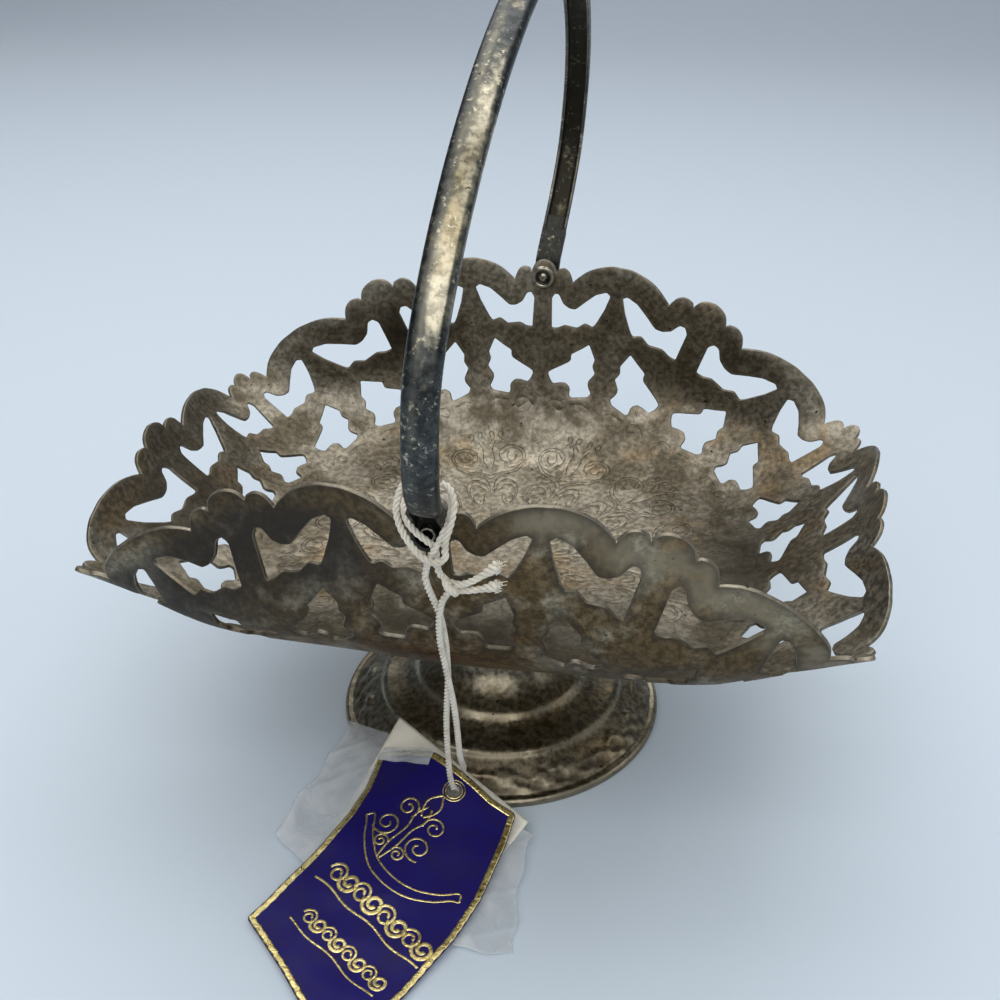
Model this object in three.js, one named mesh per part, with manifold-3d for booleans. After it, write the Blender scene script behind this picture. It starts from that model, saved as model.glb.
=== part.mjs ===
// Plated swing-handle basket with a hang tag. Millimetres, +Z up.
// The origin is the middle of the foot's rim on the table, +Y is towards the far pivot and +X towards the
// right wing.
import * as THREE from 'three';
import { mergeVertices } from 'three/addons/utils/BufferGeometryUtils.js';
import Module from 'manifold-3d';

// Gaps between pieces that touch, and between pieces that turn on each other
const seatGap = 0.3;
const turningGap = 0.3;

// Sheet of the dish, drawn flat and then raised
const sheetThickness = 1.2;
const repeats = 12;
const beadCircle = 121.3;
const middleBeadRadius = 5.2;
const floorEdge = 48.5;
const kneeRing = 72.8;
const slopeRing = 97;
const rimAllowance = 14.7;
const blankSectors = 60;
const blankDome = 20;

// Bowl sections, each [x, y, rise over the floor] at the floor's edge, knee, slope, bead circle and rim
const floorEdgeRise = 2.7;
const floorSpread = 48.3;
const pivotSection = [[0, 67.3, 16.3], [0, 72.5, 40.1], [0, 76.3, 62.5], [0, 78.7, 76.6]];
const shoulderSection = [[36.7, 61.1, 9.8], [46.4, 72.9, 29.7], [54.5, 68.3, 54.4], [60.5, 71.4, 67.5]];
const cornerSection = [[63.6, 36.5, 3.2], [82.4, 49.1, 9.9], [101.2, 58.2, 21.7], [110.5, 64.5, 29.9]];
const wingSection = [[72, 0, 3.4], [89.9, 0, 14], [106.6, 0, 31], [112, 0, 45.5]];

// Half of one repeat's outlines, each [across from the post, out from the bead circle]
const upperOpening = [
  [3.6, -19], [3.5, -8], [5, -6.1], [7, -6.5], [8.8, -9.9], [13.6, -11.9], [22.2, -7.1], [26.6, -6.5],
  [28.2, -8.1], [21.4, -17.7], [19.8, -19.1], [17, -17.5], [13.8, -19.1], [9, -18],
];
const lowerOpening = [
  [18.2, -24.4], [20, -30], [18.9, -32.1], [19.8, -34.7], [17.1, -37.3], [18.2, -41.1], [16.8, -42.5],
  [10.1, -42.1], [10.4, -39.5], [9, -38], [4.4, -38.5], [2.4, -34.4], [10.8, -30.1], [14.2, -26.4],
];
const edgeBeadsAndLobe = [
  [2.2, 4.7], [4, 3.5], [5.4, 0.7], [6.5, 1.9], [8.8, 2.2], [11.9, -1.1], [12.5, -2.9], [15.2, -1.2],
  [18.8, 0.5], [23, 1.4], [27.6, 1.4],
];
const lobeHeight = 4.9;
const drawnHalfRepeat = Math.PI / 12;

// Foot
const footHeight = 52.6;
const footRadius = 50.2;
const footWall = 1.2;
const rimFlatWidth = 2;
const footTopRadius = 21;
const stemRadius = 15;
const footSectors = 44;

// Handle: a pressed strip on one arch, measured from the pivots' axis
const restTilt = THREE.MathUtils.degToRad(6);
const legOffset = 82.5;
const legStraight = 3.5;
const legFlareStart = 1;
const legFlareEnd = 15;
const archHalfWidth = 105;
const archWidestHeight = 37;
const archHeight = 111.7;
const archFullness = 0.51;
const stripWidth = 8.5;
const stripDepth = 3.4;
const stripWall = 1;
const stripBevel = 1;
const webStart = 14;
const tongueLength = 4;
const archSteps = 60;

// Rivets
const rivetHoleRadius = 2.15;
const rivetShankRadius = 1.85;
const rivetCollarRadius = 3.4;
const rivetCollarHeight = 1.4;
const rivetShoulderRadius = 3.2;
const rivetPinRadius = 1.5;
const rivetTailRadius = 2;
const rivetTailLength = 1.6;
const rivetBoreRadius = 1.3;
const rivetSectors = 16;

// Tag, lying in front of the foot, and its string
const cardWidth = 49;
const cardLength = 68;
const cardThickness = 0.5;
const cardTurn = THREE.MathUtils.degToRad(-20);
const cardTopMiddle = [-5.6, -49.8];
const cardHole = [6, 6.5];
const cardHoleRadius = 2;
const leafThickness = 0.4;
const leafCorners = [[-26, -29], [20.3, -57.5], [8, -100], [-38, -80]];
const filmThickness = 0.3;
const filmCorners = [[-44.7, -23.2], [22, -62], [25, -106], [-52, -78]];
const tagRise = 7.4;
const tagCrown = 6.5;
const tagLift = 0.2;
const sheetSteps = 8;
const stringDiameter = 1.8;
const knotRadius = 2.4;
const tailSpread = 1.25;

const wasm = await Module();
wasm.setup();

// Solids

function toManifold(geometry) {
  const bare = geometry.clone();
  bare.deleteAttribute('normal');
  bare.deleteAttribute('uv');
  const merged = mergeVertices(bare, 1e-4);
  return new wasm.Manifold(new wasm.Mesh({
    numProp: 3,
    vertProperties: new Float32Array(merged.attributes.position.array),
    triVerts: new Uint32Array(merged.index.array),
  }));
}

function toGeometry(solid) {
  const mesh = solid.getMesh();
  const geometry = new THREE.BufferGeometry();
  geometry.setAttribute('position', new THREE.BufferAttribute(mesh.vertProperties, 3));
  geometry.setIndex(new THREE.BufferAttribute(mesh.triVerts, 1));
  geometry.computeVertexNormals();
  return geometry;
}

function extruded(outline, depth, holes = []) {
  const points = outline.map(([x, y]) => new THREE.Vector2(x, y));
  const shape = new THREE.Shape(THREE.ShapeUtils.isClockWise(points) ? points.reverse() : points);
  shape.holes = holes.map((hole) => new THREE.Path(hole.map(([x, y]) => new THREE.Vector2(x, y))));
  return new THREE.ExtrudeGeometry(shape, { depth, bevelEnabled: false });
}

function lathed(profile, sectors) {
  return new THREE.LatheGeometry(profile.map(([r, h]) => new THREE.Vector2(r, h)), sectors);
}

function circle(radius, sides, [x, y] = [0, 0]) {
  return Array.from({ length: sides }, (_, i) => {
    const angle = (2 * Math.PI * i) / sides;
    return [x + radius * Math.cos(angle), y + radius * Math.sin(angle)];
  });
}

// A slab whose middle surface is surface(s, t) for s and t from 0 to 1, thick along +Z
function drapedSlab(surface, thickness, columns, rows) {
  const positions = [];
  const faces = [];
  const at = (layer, i, j) => (layer * (rows + 1) + j) * (columns + 1) + i;
  const quad = (a, b, c, d) => faces.push(a, b, c, a, c, d);
  for (const side of [1, -1]) {
    for (let j = 0; j <= rows; j += 1) {
      for (let i = 0; i <= columns; i += 1) {
        const [x, y, z] = surface(i / columns, j / rows);
        positions.push(x, y, z + (side * thickness) / 2);
      }
    }
  }
  for (let j = 0; j < rows; j += 1) {
    for (let i = 0; i < columns; i += 1) {
      quad(at(0, i, j), at(0, i, j + 1), at(0, i + 1, j + 1), at(0, i + 1, j));
      quad(at(1, i, j), at(1, i + 1, j), at(1, i + 1, j + 1), at(1, i, j + 1));
    }
  }
  for (let i = 0; i < columns; i += 1) {
    quad(at(0, i, 0), at(0, i + 1, 0), at(1, i + 1, 0), at(1, i, 0));
    quad(at(0, i + 1, rows), at(0, i, rows), at(1, i, rows), at(1, i + 1, rows));
  }
  for (let j = 0; j < rows; j += 1) {
    quad(at(0, 0, j + 1), at(0, 0, j), at(1, 0, j), at(1, 0, j + 1));
    quad(at(0, columns, j), at(0, columns, j + 1), at(1, columns, j + 1), at(1, columns, j));
  }
  const geometry = new THREE.BufferGeometry();
  geometry.setAttribute('position', new THREE.Float32BufferAttribute(positions, 3));
  geometry.setIndex(faces);
  return geometry;
}

// Bowl form. Each ring of the flat sheet becomes a smooth closed loop through its four sections: x is a sum
// of sines of 1, 3 and 5 times the bearing from the pivot, y the same of cosines, and the rise is a sum of
// cosines of 0, 2, 4 and 6 times it. Each flat radius runs out through the rings on a clamped cubic spline.

const ringRadii = [floorEdge, kneeRing, slopeRing, beadCircle, beadCircle + rimAllowance];

function ringWaves(pivot, shoulder, corner, wing) {
  const sixtiethSine = Math.sqrt(3) / 2;
  const xEven = corner[0] / sixtiethSine;
  const xOdd = (shoulder[0] + wing[0]) / 1.5;
  const yEven = shoulder[1] / sixtiethSine;
  const yOdd = (pivot[1] + corner[1]) / 1.5;
  const [a, b, c, d] = [pivot[2], shoulder[2], corner[2], wing[2]];
  return [
    (xEven + xOdd) / 2, xOdd - wing[0], (xOdd - xEven) / 2,
    (yEven + yOdd) / 2, pivot[1] - yOdd, (yOdd - yEven) / 2,
    (a + 2 * b + 2 * c + d) / 6, (a + b - c - d) / 3, (a - b - c + d) / 3, (a - 2 * b + 2 * c - d) / 6,
  ];
}

const floorWaves = [floorSpread, 0, 0, floorSpread, 0, 0, floorEdgeRise, 0, 0, 0];
const floorSlopes = floorWaves.map((value, i) => (i === 6 ? 2 : 1) * (value / floorEdge));
const ringTable = [floorWaves].concat(pivotSection.map((_, i) => ringWaves(
  pivotSection[i], shoulderSection[i], cornerSection[i], wingSection[i],
)));

// Second derivatives of a cubic spline that is clamped at its first point and free at its last
function splineCurvatures(knots, values, firstSlope) {
  const count = knots.length;
  const upper = new Array(count).fill(0);
  const result = new Array(count).fill(0);
  const firstStep = knots[1] - knots[0];
  upper[0] = -0.5;
  result[0] = (3 / firstStep) * ((values[1] - values[0]) / firstStep - firstSlope);
  for (let i = 1; i < count - 1; i += 1) {
    const before = knots[i] - knots[i - 1];
    const after = knots[i + 1] - knots[i];
    const share = before / (before + after);
    const pivot = share * upper[i - 1] + 2;
    const bend = (values[i + 1] - values[i]) / after - (values[i] - values[i - 1]) / before;
    upper[i] = (share - 1) / pivot;
    result[i] = ((6 * bend) / (before + after) - share * result[i - 1]) / pivot;
  }
  result[count - 1] = 0;
  for (let i = count - 2; i >= 0; i -= 1) {
    result[i] += upper[i] * result[i + 1];
  }
  return result;
}

const waveSplines = floorWaves.map((_, k) => {
  const values = ringTable.map((ring) => ring[k]);
  return { values, curvatures: splineCurvatures(ringRadii, values, floorSlopes[k]) };
});

function waveAt(k, radius) {
  const { values, curvatures } = waveSplines[k];
  let i = 0;
  while (i < ringRadii.length - 2 && radius > ringRadii[i + 1]) {
    i += 1;
  }
  const step = ringRadii[i + 1] - ringRadii[i];
  const a = (ringRadii[i + 1] - radius) / step;
  const b = 1 - a;
  const bend = ((a ** 3 - a) * curvatures[i] + (b ** 3 - b) * curvatures[i + 1]) * (step ** 2 / 6);
  return a * values[i] + b * values[i + 1] + bend;
}

const bowlFloor = footHeight + seatGap + sheetThickness / 2;

function floorRise(radius) {
  return floorEdgeRise * (radius / floorEdge) ** 2;
}

function bowlPoint(flatX, flatY) {
  const radius = Math.hypot(flatX, flatY);
  if (radius <= floorEdge) {
    const spread = floorSpread / floorEdge;
    return new THREE.Vector3(flatX * spread, flatY * spread, bowlFloor + floorRise(radius));
  }
  const bearing = Math.atan2(flatX, flatY);
  const [x1, x3, x5, y1, y3, y5, z0, z2, z4, z6] = waveSplines.map((_, k) => waveAt(k, radius));
  return new THREE.Vector3(
    x1 * Math.sin(bearing) + x3 * Math.sin(3 * bearing) + x5 * Math.sin(5 * bearing),
    y1 * Math.cos(bearing) + y3 * Math.cos(3 * bearing) + y5 * Math.cos(5 * bearing),
    bowlFloor + z0 + z2 * Math.cos(2 * bearing) + z4 * Math.cos(4 * bearing) + z6 * Math.cos(6 * bearing),
  );
}

function raisedPoint(flatX, flatY, offset) {
  const reach = 0.05;
  const alongX = bowlPoint(flatX + reach, flatY).sub(bowlPoint(flatX - reach, flatY));
  const alongY = bowlPoint(flatX, flatY + reach).sub(bowlPoint(flatX, flatY - reach));
  const normal = alongX.cross(alongY).normalize();
  return bowlPoint(flatX, flatY).addScaledVector(normal, offset);
}

const pivotPoint = bowlPoint(0, beadCircle);
const pivotHeight = pivotPoint.z;
const tabOffset = pivotPoint.y;

// How far the sheet is drawn in at the pivots, across and along its radius
const drawnAcross = bowlPoint(1, beadCircle).distanceTo(bowlPoint(-1, beadCircle)) / 2;
const drawnAlong = bowlPoint(0, beadCircle + 1).distanceTo(bowlPoint(0, beadCircle - 1)) / 2;

// Dish

function domeHeight(x, y) {
  return blankDome * ((x * x + y * y) / beadCircle ** 2);
}

// The flat blank is domed a little while it is cut, so that no two of its facets share a plane and the cut
// keeps them all.
function domedBlank() {
  const rings = [0, 24, floorEdge, 60, kneeRing, 85, slopeRing, 109, beadCircle, beadCircle + rimAllowance];
  const disc = (s, t) => {
    const radius = rings[Math.round(t * (rings.length - 1))];
    const bearing = 2 * Math.PI * s;
    const x = radius * Math.sin(bearing);
    const y = radius * Math.cos(bearing);
    return [x, y, domeHeight(x, y)];
  };
  return drapedDisc(disc, sheetThickness, blankSectors, rings.length - 1);
}

// Like drapedSlab, closed round on itself, with its first ring a single point
function drapedDisc(surface, thickness, sectors, rings) {
  const positions = [];
  const faces = [];
  const layerSize = 1 + sectors * rings;
  const at = (layer, i, j) => layer * layerSize + (j === 0 ? 0 : 1 + (j - 1) * sectors + (i % sectors));
  for (const side of [1, -1]) {
    const [cx, cy, cz] = surface(0, 0);
    positions.push(cx, cy, cz + (side * thickness) / 2);
    for (let j = 1; j <= rings; j += 1) {
      for (let i = 0; i < sectors; i += 1) {
        const [x, y, z] = surface(i / sectors, j / rings);
        positions.push(x, y, z + (side * thickness) / 2);
      }
    }
  }
  for (let i = 0; i < sectors; i += 1) {
    faces.push(at(0, i, 0), at(0, i + 1, 1), at(0, i, 1));
    faces.push(at(1, i, 0), at(1, i, 1), at(1, i + 1, 1));
    for (let j = 1; j < rings; j += 1) {
      faces.push(at(0, i, j), at(0, i + 1, j), at(0, i + 1, j + 1));
      faces.push(at(0, i, j), at(0, i + 1, j + 1), at(0, i, j + 1));
      faces.push(at(1, i, j), at(1, i + 1, j + 1), at(1, i + 1, j));
      faces.push(at(1, i, j), at(1, i, j + 1), at(1, i + 1, j + 1));
    }
    faces.push(at(0, i, rings), at(0, i + 1, rings), at(1, i + 1, rings));
    faces.push(at(0, i, rings), at(1, i + 1, rings), at(1, i, rings));
  }
  const geometry = new THREE.BufferGeometry();
  geometry.setAttribute('position', new THREE.Float32BufferAttribute(positions, 3));
  geometry.setIndex(faces);
  return geometry;
}

// A point of a half-repeat's outline, on the flat sheet, for one repeat and one side of its post
function onSheet([across, out], repeat, side) {
  const halfRepeat = Math.PI / repeats;
  const along = beadCircle + out;
  const radius = Math.hypot(across, along);
  const bearing = 2 * repeat * halfRepeat
    + side * Math.atan2(across, along) * (halfRepeat / drawnHalfRepeat);
  return [radius * Math.sin(bearing), radius * Math.cos(bearing)];
}

function dishOutline() {
  const outline = [];
  for (let repeat = 0; repeat < repeats; repeat += 1) {
    const left = edgeBeadsAndLobe.map((point) => onSheet(point, repeat, -1)).reverse();
    const right = edgeBeadsAndLobe.map((point) => onSheet(point, repeat, 1));
    const lobeBearing = (2 * repeat + 1) * (Math.PI / repeats);
    const lobeRadius = beadCircle + lobeHeight;
    outline.push(...left, onSheet([0, middleBeadRadius], repeat, 1), ...right);
    outline.push([lobeRadius * Math.sin(lobeBearing), lobeRadius * Math.cos(lobeBearing)]);
  }
  return outline;
}

function dishOpenings() {
  const openings = [];
  for (let repeat = 0; repeat < repeats; repeat += 1) {
    for (const side of [-1, 1]) {
      for (const half of [upperOpening, lowerOpening]) {
        openings.push(half.map((point) => onSheet(point, repeat, side)));
      }
    }
  }
  for (const end of [1, -1]) {
    openings.push(circle(rivetHoleRadius, 16).map(([x, y]) => (
      [x / drawnAcross, end * beadCircle + y / drawnAlong]
    )));
  }
  return openings;
}

function makeDish() {
  const depth = blankDome * 3;
  const cutter = extruded(dishOutline(), depth, dishOpenings()).translate(0, 0, -depth / 3);
  const blank = toManifold(domedBlank()).intersect(toManifold(cutter));
  const geometry = toGeometry(blank);
  const position = geometry.attributes.position;
  for (let i = 0; i < position.count; i += 1) {
    const x = position.getX(i);
    const y = position.getY(i);
    const side = Math.sign(position.getZ(i) - domeHeight(x, y));
    const raised = raisedPoint(x, y, (side * sheetThickness) / 2);
    position.setXYZ(i, raised.x, raised.y, raised.z);
  }
  geometry.computeVertexNormals();
  return geometry;
}

// Foot

function footOutside() {
  const rimAndCove = [
    [0, 0.8], [0.6, 2.2], [2.6, 2.6], [8.2, 6.5], [11.7, 8.7], [13.7, 10.6], [17, 11.2], [22.7, 13.6],
    [25.2, 16], [29.2, 18.5],
  ].map(([inwards, height]) => [footRadius - inwards, height]);
  const stem = [[2.5, 29.6], [0.4, 22.6], [0, 16.6], [0.8, 9.6], [3, 4.1]]
    .map(([outwards, down]) => [stemRadius + outwards, footHeight - down]);
  return rimAndCove.concat(stem);
}

// The outside moved in by the wall, square to the profile
function footInside(outside) {
  return outside.slice(2).map(([radius, height], k) => {
    const i = k + 2;
    const before = outside[i - 1];
    const after = outside[Math.min(i + 1, outside.length - 1)];
    const alongRadius = after[0] - before[0];
    const alongHeight = after[1] - before[1];
    const length = Math.hypot(alongRadius, alongHeight);
    return [radius - (footWall * alongHeight) / length, height + (footWall * alongRadius) / length];
  });
}

function makeFoot() {
  const outside = footOutside();
  const inside = footInside(outside).slice(1).reverse();
  const topOuter = [footTopRadius, footHeight + floorRise(footTopRadius)];
  const topInnerRadius = footTopRadius - 2 * footWall;
  const topInner = [topInnerRadius, footHeight + floorRise(topInnerRadius)];
  const rimOuter = [footRadius - 0.4, 0];
  const rimInner = [footRadius - 0.4 - rimFlatWidth, 0];
  const profile = [rimOuter, ...outside, topOuter, topInner, ...inside, rimInner, rimOuter];
  return lathed(profile, footSectors).rotateX(Math.PI / 2);
}

// Handle

function archCurve() {
  const at = (offset, height) => new THREE.Vector3(0, offset, height);
  const fullHeight = archFullness * (archHeight - archWidestHeight);
  const fullWidth = archFullness * archHalfWidth;
  const arch = new THREE.CurvePath();
  arch.add(new THREE.LineCurve3(at(-legOffset, 0), at(-legOffset, legStraight)));
  arch.add(new THREE.CubicBezierCurve3(
    at(-legOffset, legStraight), at(-legOffset, legStraight + legFlareStart),
    at(-archHalfWidth, archWidestHeight - legFlareEnd), at(-archHalfWidth, archWidestHeight),
  ));
  arch.add(new THREE.CubicBezierCurve3(
    at(-archHalfWidth, archWidestHeight), at(-archHalfWidth, archWidestHeight + fullHeight),
    at(-fullWidth, archHeight), at(0, archHeight),
  ));
  arch.add(new THREE.CubicBezierCurve3(
    at(0, archHeight), at(fullWidth, archHeight),
    at(archHalfWidth, archWidestHeight + fullHeight), at(archHalfWidth, archWidestHeight),
  ));
  arch.add(new THREE.CubicBezierCurve3(
    at(archHalfWidth, archWidestHeight), at(archHalfWidth, archWidestHeight - legFlareEnd),
    at(legOffset, legStraight + legFlareStart), at(legOffset, legStraight),
  ));
  arch.add(new THREE.LineCurve3(at(legOffset, legStraight), at(legOffset, 0)));
  return arch;
}

const arch = archCurve();
const archLength = arch.getLength();

// Part of a curve in the YZ plane. Its sections keep one side square to that plane.
class Stretch extends THREE.Curve {
  constructor(whole, from, to) {
    super();
    Object.assign(this, { whole, from, to });
  }

  getPoint(t, target = new THREE.Vector3()) {
    return target.copy(this.whole.getPointAt(this.from + (this.to - this.from) * t));
  }

  computeFrenetFrames(segments) {
    const tangents = Array.from({ length: segments + 1 }, (_, i) => this.getTangentAt(i / segments));
    const normals = tangents.map(() => new THREE.Vector3(-1, 0, 0));
    const binormals = tangents.map((tangent, i) => new THREE.Vector3().crossVectors(tangent, normals[i]));
    return { tangents, normals, binormals };
  }
}

// A section swept along the arch, [across, outwards], between two lengths from the near pivot
function sweptStrip(section, fromLength, toLength, steps) {
  const shape = new THREE.Shape(section.map(([x, y]) => new THREE.Vector2(x, y)));
  const extrudePath = new Stretch(arch, fromLength / archLength, toLength / archLength);
  return new THREE.ExtrudeGeometry(shape, { steps, bevelEnabled: false, extrudePath });
}

const halfStrip = stripWidth / 2;
const halfDepth = stripDepth / 2;

// The channel opens towards the basket, and its outer corners are bevelled
function makeHandle() {
  const inner = halfStrip - stripWall;
  const webInside = halfDepth - stripWall;
  const cutCorner = stripBevel * 0.6;
  const section = [
    [-halfStrip, -halfDepth], [-inner, -halfDepth], [-inner, webInside - cutCorner],
    [-inner + cutCorner, webInside], [inner - cutCorner, webInside], [inner, webInside - cutCorner],
    [inner, -halfDepth], [halfStrip, -halfDepth], [halfStrip, halfDepth - stripBevel],
    [halfStrip - stripBevel, halfDepth], [-halfStrip + stripBevel, halfDepth],
    [-halfStrip, halfDepth - stripBevel],
  ];
  return sweptStrip(section, webStart, archLength - webStart, archSteps);
}

// The rounded tray that closes a leg's end round its rivet, drawn for the near leg
function makeHandleEnd() {
  const inner = halfStrip - stripWall;
  const webOutside = -halfDepth + stripWall;
  const channel = [
    [-halfStrip, -halfDepth], [halfStrip, -halfDepth], [halfStrip, halfDepth], [inner, halfDepth],
    [inner, webOutside], [-inner, webOutside], [-inner, halfDepth], [-halfStrip, halfDepth],
  ];
  const tongueHalf = inner - seatGap;
  const tongue = [
    [-tongueHalf, -halfDepth], [tongueHalf, -halfDepth], [tongueHalf, webOutside], [-tongueHalf, webOutside],
  ];
  const overlap = 0.5;
  const halfDisc = (radius) => Array.from({ length: 13 }, (_, i) => {
    const angle = Math.PI + (Math.PI * i) / 12;
    return [radius * Math.cos(angle), radius * Math.sin(angle)];
  });
  const plate = [...halfDisc(halfStrip), [halfStrip, overlap], [-halfStrip, overlap]];
  const wall = [
    ...halfDisc(halfStrip), [halfStrip, overlap], [inner, overlap], ...halfDisc(inner).reverse(),
    [-inner, overlap], [-halfStrip, overlap],
  ];
  const standUp = (geometry, outwards) => geometry.rotateX(Math.PI / 2).translate(0, -legOffset - outwards, 0);
  const plateSolid = standUp(extruded(plate, stripWall), webOutside);
  const wallSolid = standUp(extruded(wall, stripDepth), halfDepth);
  const pinHole = new THREE.CylinderGeometry(
    rivetPinRadius + turningGap, rivetPinRadius + turningGap, stripDepth * 2, 16,
  ).translate(0, -legOffset, 0);
  plateSolid.translate(0, stripWall, 0);
  wallSolid.translate(0, stripDepth, 0);
  return toGeometry(
    toManifold(sweptStrip(channel, 0, webStart - seatGap, 8))
      .add(toManifold(sweptStrip(tongue, webStart - seatGap - overlap, webStart + tongueLength, 4)))
      .add(toManifold(plateSolid))
      .add(toManifold(wallSolid))
      .subtract(toManifold(pinHole)),
  );
}

// Rivets, turned about +Y and measured outwards from the middle of the tab

function makeRivet() {
  const tabSlope = raisedPoint(0, beadCircle, 1).sub(pivotPoint);
  const tabLean = rivetCollarRadius * Math.abs(tabSlope.z / tabSlope.y);
  const tabFace = sheetThickness / 2 + tabLean + seatGap;
  const collarEnd = -tabFace - rivetCollarHeight;
  const plateInside = legOffset - halfDepth - tabOffset;
  const plateOutside = plateInside + stripWall;
  const tailEnd = plateOutside + turningGap + rivetTailLength;
  return lathed([
    [0, collarEnd + 0.8], [1.4, collarEnd + 1], [rivetHoleRadius, collarEnd + 1],
    [rivetHoleRadius, collarEnd + 0.2], [2.6, collarEnd], [3.1, collarEnd + 0.1],
    [rivetCollarRadius, collarEnd + 0.5], [rivetCollarRadius, -tabFace], [rivetShankRadius, -tabFace],
    [rivetShankRadius, tabFace], [rivetShoulderRadius, tabFace],
    [rivetShoulderRadius, plateInside - turningGap], [rivetPinRadius, plateInside - turningGap],
    [rivetPinRadius, plateOutside + turningGap], [rivetTailRadius, plateOutside + turningGap],
    [rivetTailRadius, tailEnd], [rivetBoreRadius, tailEnd], [rivetBoreRadius, tailEnd - rivetTailLength],
    [0, tailEnd - rivetTailLength],
  ], rivetSectors).translate(0, tabOffset, 0);
}

// Tag

const cardAcross = [Math.cos(cardTurn), Math.sin(cardTurn)];
const cardDown = [Math.sin(cardTurn), -Math.cos(cardTurn)];

function onCard(across, down) {
  return [
    cardTopMiddle[0] + across * cardAcross[0] + down * cardDown[0],
    cardTopMiddle[1] + across * cardAcross[1] + down * cardDown[1],
  ];
}

// Height of the pile's underside: it lies on the table at its lower end and rides up to the string, most
// in its middle, and settles again past the card's sides.
function tagHeight(x, y) {
  const fromTop = [x - cardTopMiddle[0], y - cardTopMiddle[1]];
  const across = fromTop[0] * cardAcross[0] + fromTop[1] * cardAcross[1];
  const down = fromTop[0] * cardDown[0] + fromTop[1] * cardDown[1];
  const climb = Math.max(0, 1 - down / cardLength);
  const pastSide = Math.max(0, Math.abs(across) - 20) / 22;
  const crown = Math.cos(Math.min(Math.abs(across) / 30, 1) * (Math.PI / 2)) ** 2;
  return tagLift + tagRise * climb ** 1.4 * Math.exp(-(pastSide ** 2)) + tagCrown * crown * climb ** 2;
}

function makeSheet(corners, thickness, layerHeight) {
  const [a, b, c, d] = corners;
  const surface = (s, t) => {
    const [x, y] = [0, 1].map((i) => (
      (1 - t) * ((1 - s) * a[i] + s * b[i]) + t * ((1 - s) * d[i] + s * c[i])
    ));
    return [x, y, tagHeight(x, y) + layerHeight];
  };
  return drapedSlab(surface, thickness, sheetSteps, sheetSteps);
}

const filmLayer = filmThickness / 2;
const leafLayer = filmThickness + seatGap + leafThickness / 2;
const cardLayer = filmThickness + leafThickness + 2 * seatGap + cardThickness / 2;

function makeCard() {
  const half = cardWidth / 2;
  const corners = [onCard(-half, 0), onCard(half, 0), onCard(half, cardLength), onCard(-half, cardLength)];
  const [x, y] = onCard(...cardHole);
  const hole = extruded(circle(cardHoleRadius, 12, [x, y]), footHeight);
  return toGeometry(toManifold(makeSheet(corners, cardThickness, cardLayer)).subtract(toManifold(hole)));
}

// String, one cord in separate stretches

function makeCord(points) {
  const path = new THREE.CatmullRomCurve3(points.map(([x, y, z]) => new THREE.Vector3(x, y, z)));
  const steps = Math.min(80, Math.max(4, Math.round(path.getLength() / (2 * stringDiameter))));
  const section = new THREE.Shape(circle(stringDiameter / 2, 8).map(([x, y]) => new THREE.Vector2(x, y)));
  return new THREE.ExtrudeGeometry(section, { steps, bevelEnabled: false, extrudePath: path });
}

// The hitch crosses behind the near leg, above its rivet, and comes down on both sides. All of it stays
// close to the pivot, so it turns with the leg inside the strands and the knot that hang below.
const hitchRoute = [
  [-1.9, -85.2, 106.1], [-1.7, -85.7, 109], [-1.5, -86.2, 112], [-2.6, -86.6, 114], [-5.7, -85.8, 117.4],
  [-7, -84.6, 120.7], [-6.1, -83.4, 123.2], [-3.6, -82.7, 124.6], [0.3, -82.5, 124.9],
  [4.2, -82.8, 124.5], [6.7, -84, 123.2], [7.3, -85.6, 121.2], [5.8, -86.8, 118.4], [2.8, -86.8, 114.4],
  [1.5, -86.2, 112], [1.8, -85.5, 109.2], [2.7, -84.9, 107],
];
const leftRoute = [
  [-1.9, -85, 105.2], [-2, -84.4, 103], [-1.3, -82.6, 98.5], [-0.2, -79.4, 91],
  [0.2, -76.4, 82], [-0.3, -74.3, 74], [-0.5, -72, 66], [-0.5, -70.4, 58], [-1.2, -67.6, 48],
  [-2, -64.5, 37], [-2.4, -61.5, 26], [-2.3, -58.8, 18.4], [-2.2, -58, 14.6],
];
const knotPlace = [5, -84.2, 103.5];
const rightRoute = [
  [3.6, -83.8, 101.2], [2.4, -83.2, 97], [1.5, -81.8, 91], [1.6, -79.2, 82.3], [1.7, -76.8, 74],
  [1.8, -74.4, 66], [1.9, -71.8, 58], [2.3, -67.6, 49], [2.3, -61, 40], [2, -54, 30], [1.2, -46.6, 20],
  [0.6, -43.2, 15],
];
const tailUpperRoute = [[7.9, -84.4, 104.2], [10, -84.6, 105.6], [13.2, -84.8, 108.2], [16.3, -84.9, 111]];
const tailLowerRoute = [[7.8, -84, 102.6], [10, -83.9, 102.7], [13, -83.8, 103.4], [16, -83.8, 104.4]];

function makeKnot() {
  return new THREE.SphereGeometry(knotRadius, 12, 8).scale(0.85, 0.8, 1.1).translate(...knotPlace);
}

// A cut end opens out where its strands have come apart
function makeTail(route) {
  const geometry = makeCord(route);
  const start = new THREE.Vector3(...route[0]);
  const end = new THREE.Vector3(...route[route.length - 1]);
  const along = end.clone().sub(start);
  const position = geometry.attributes.position;
  const point = new THREE.Vector3();
  const onLine = new THREE.Vector3();
  for (let i = 0; i < position.count; i += 1) {
    point.fromBufferAttribute(position, i);
    const share = point.clone().sub(start).dot(along) / along.lengthSq();
    const spread = 1 + tailSpread * Math.max(0, share - 0.7);
    onLine.copy(start).addScaledVector(along, share);
    point.sub(onLine).multiplyScalar(spread).add(onLine);
    position.setXYZ(i, point.x, point.y, point.z);
  }
  return geometry;
}

// Assembly

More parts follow.
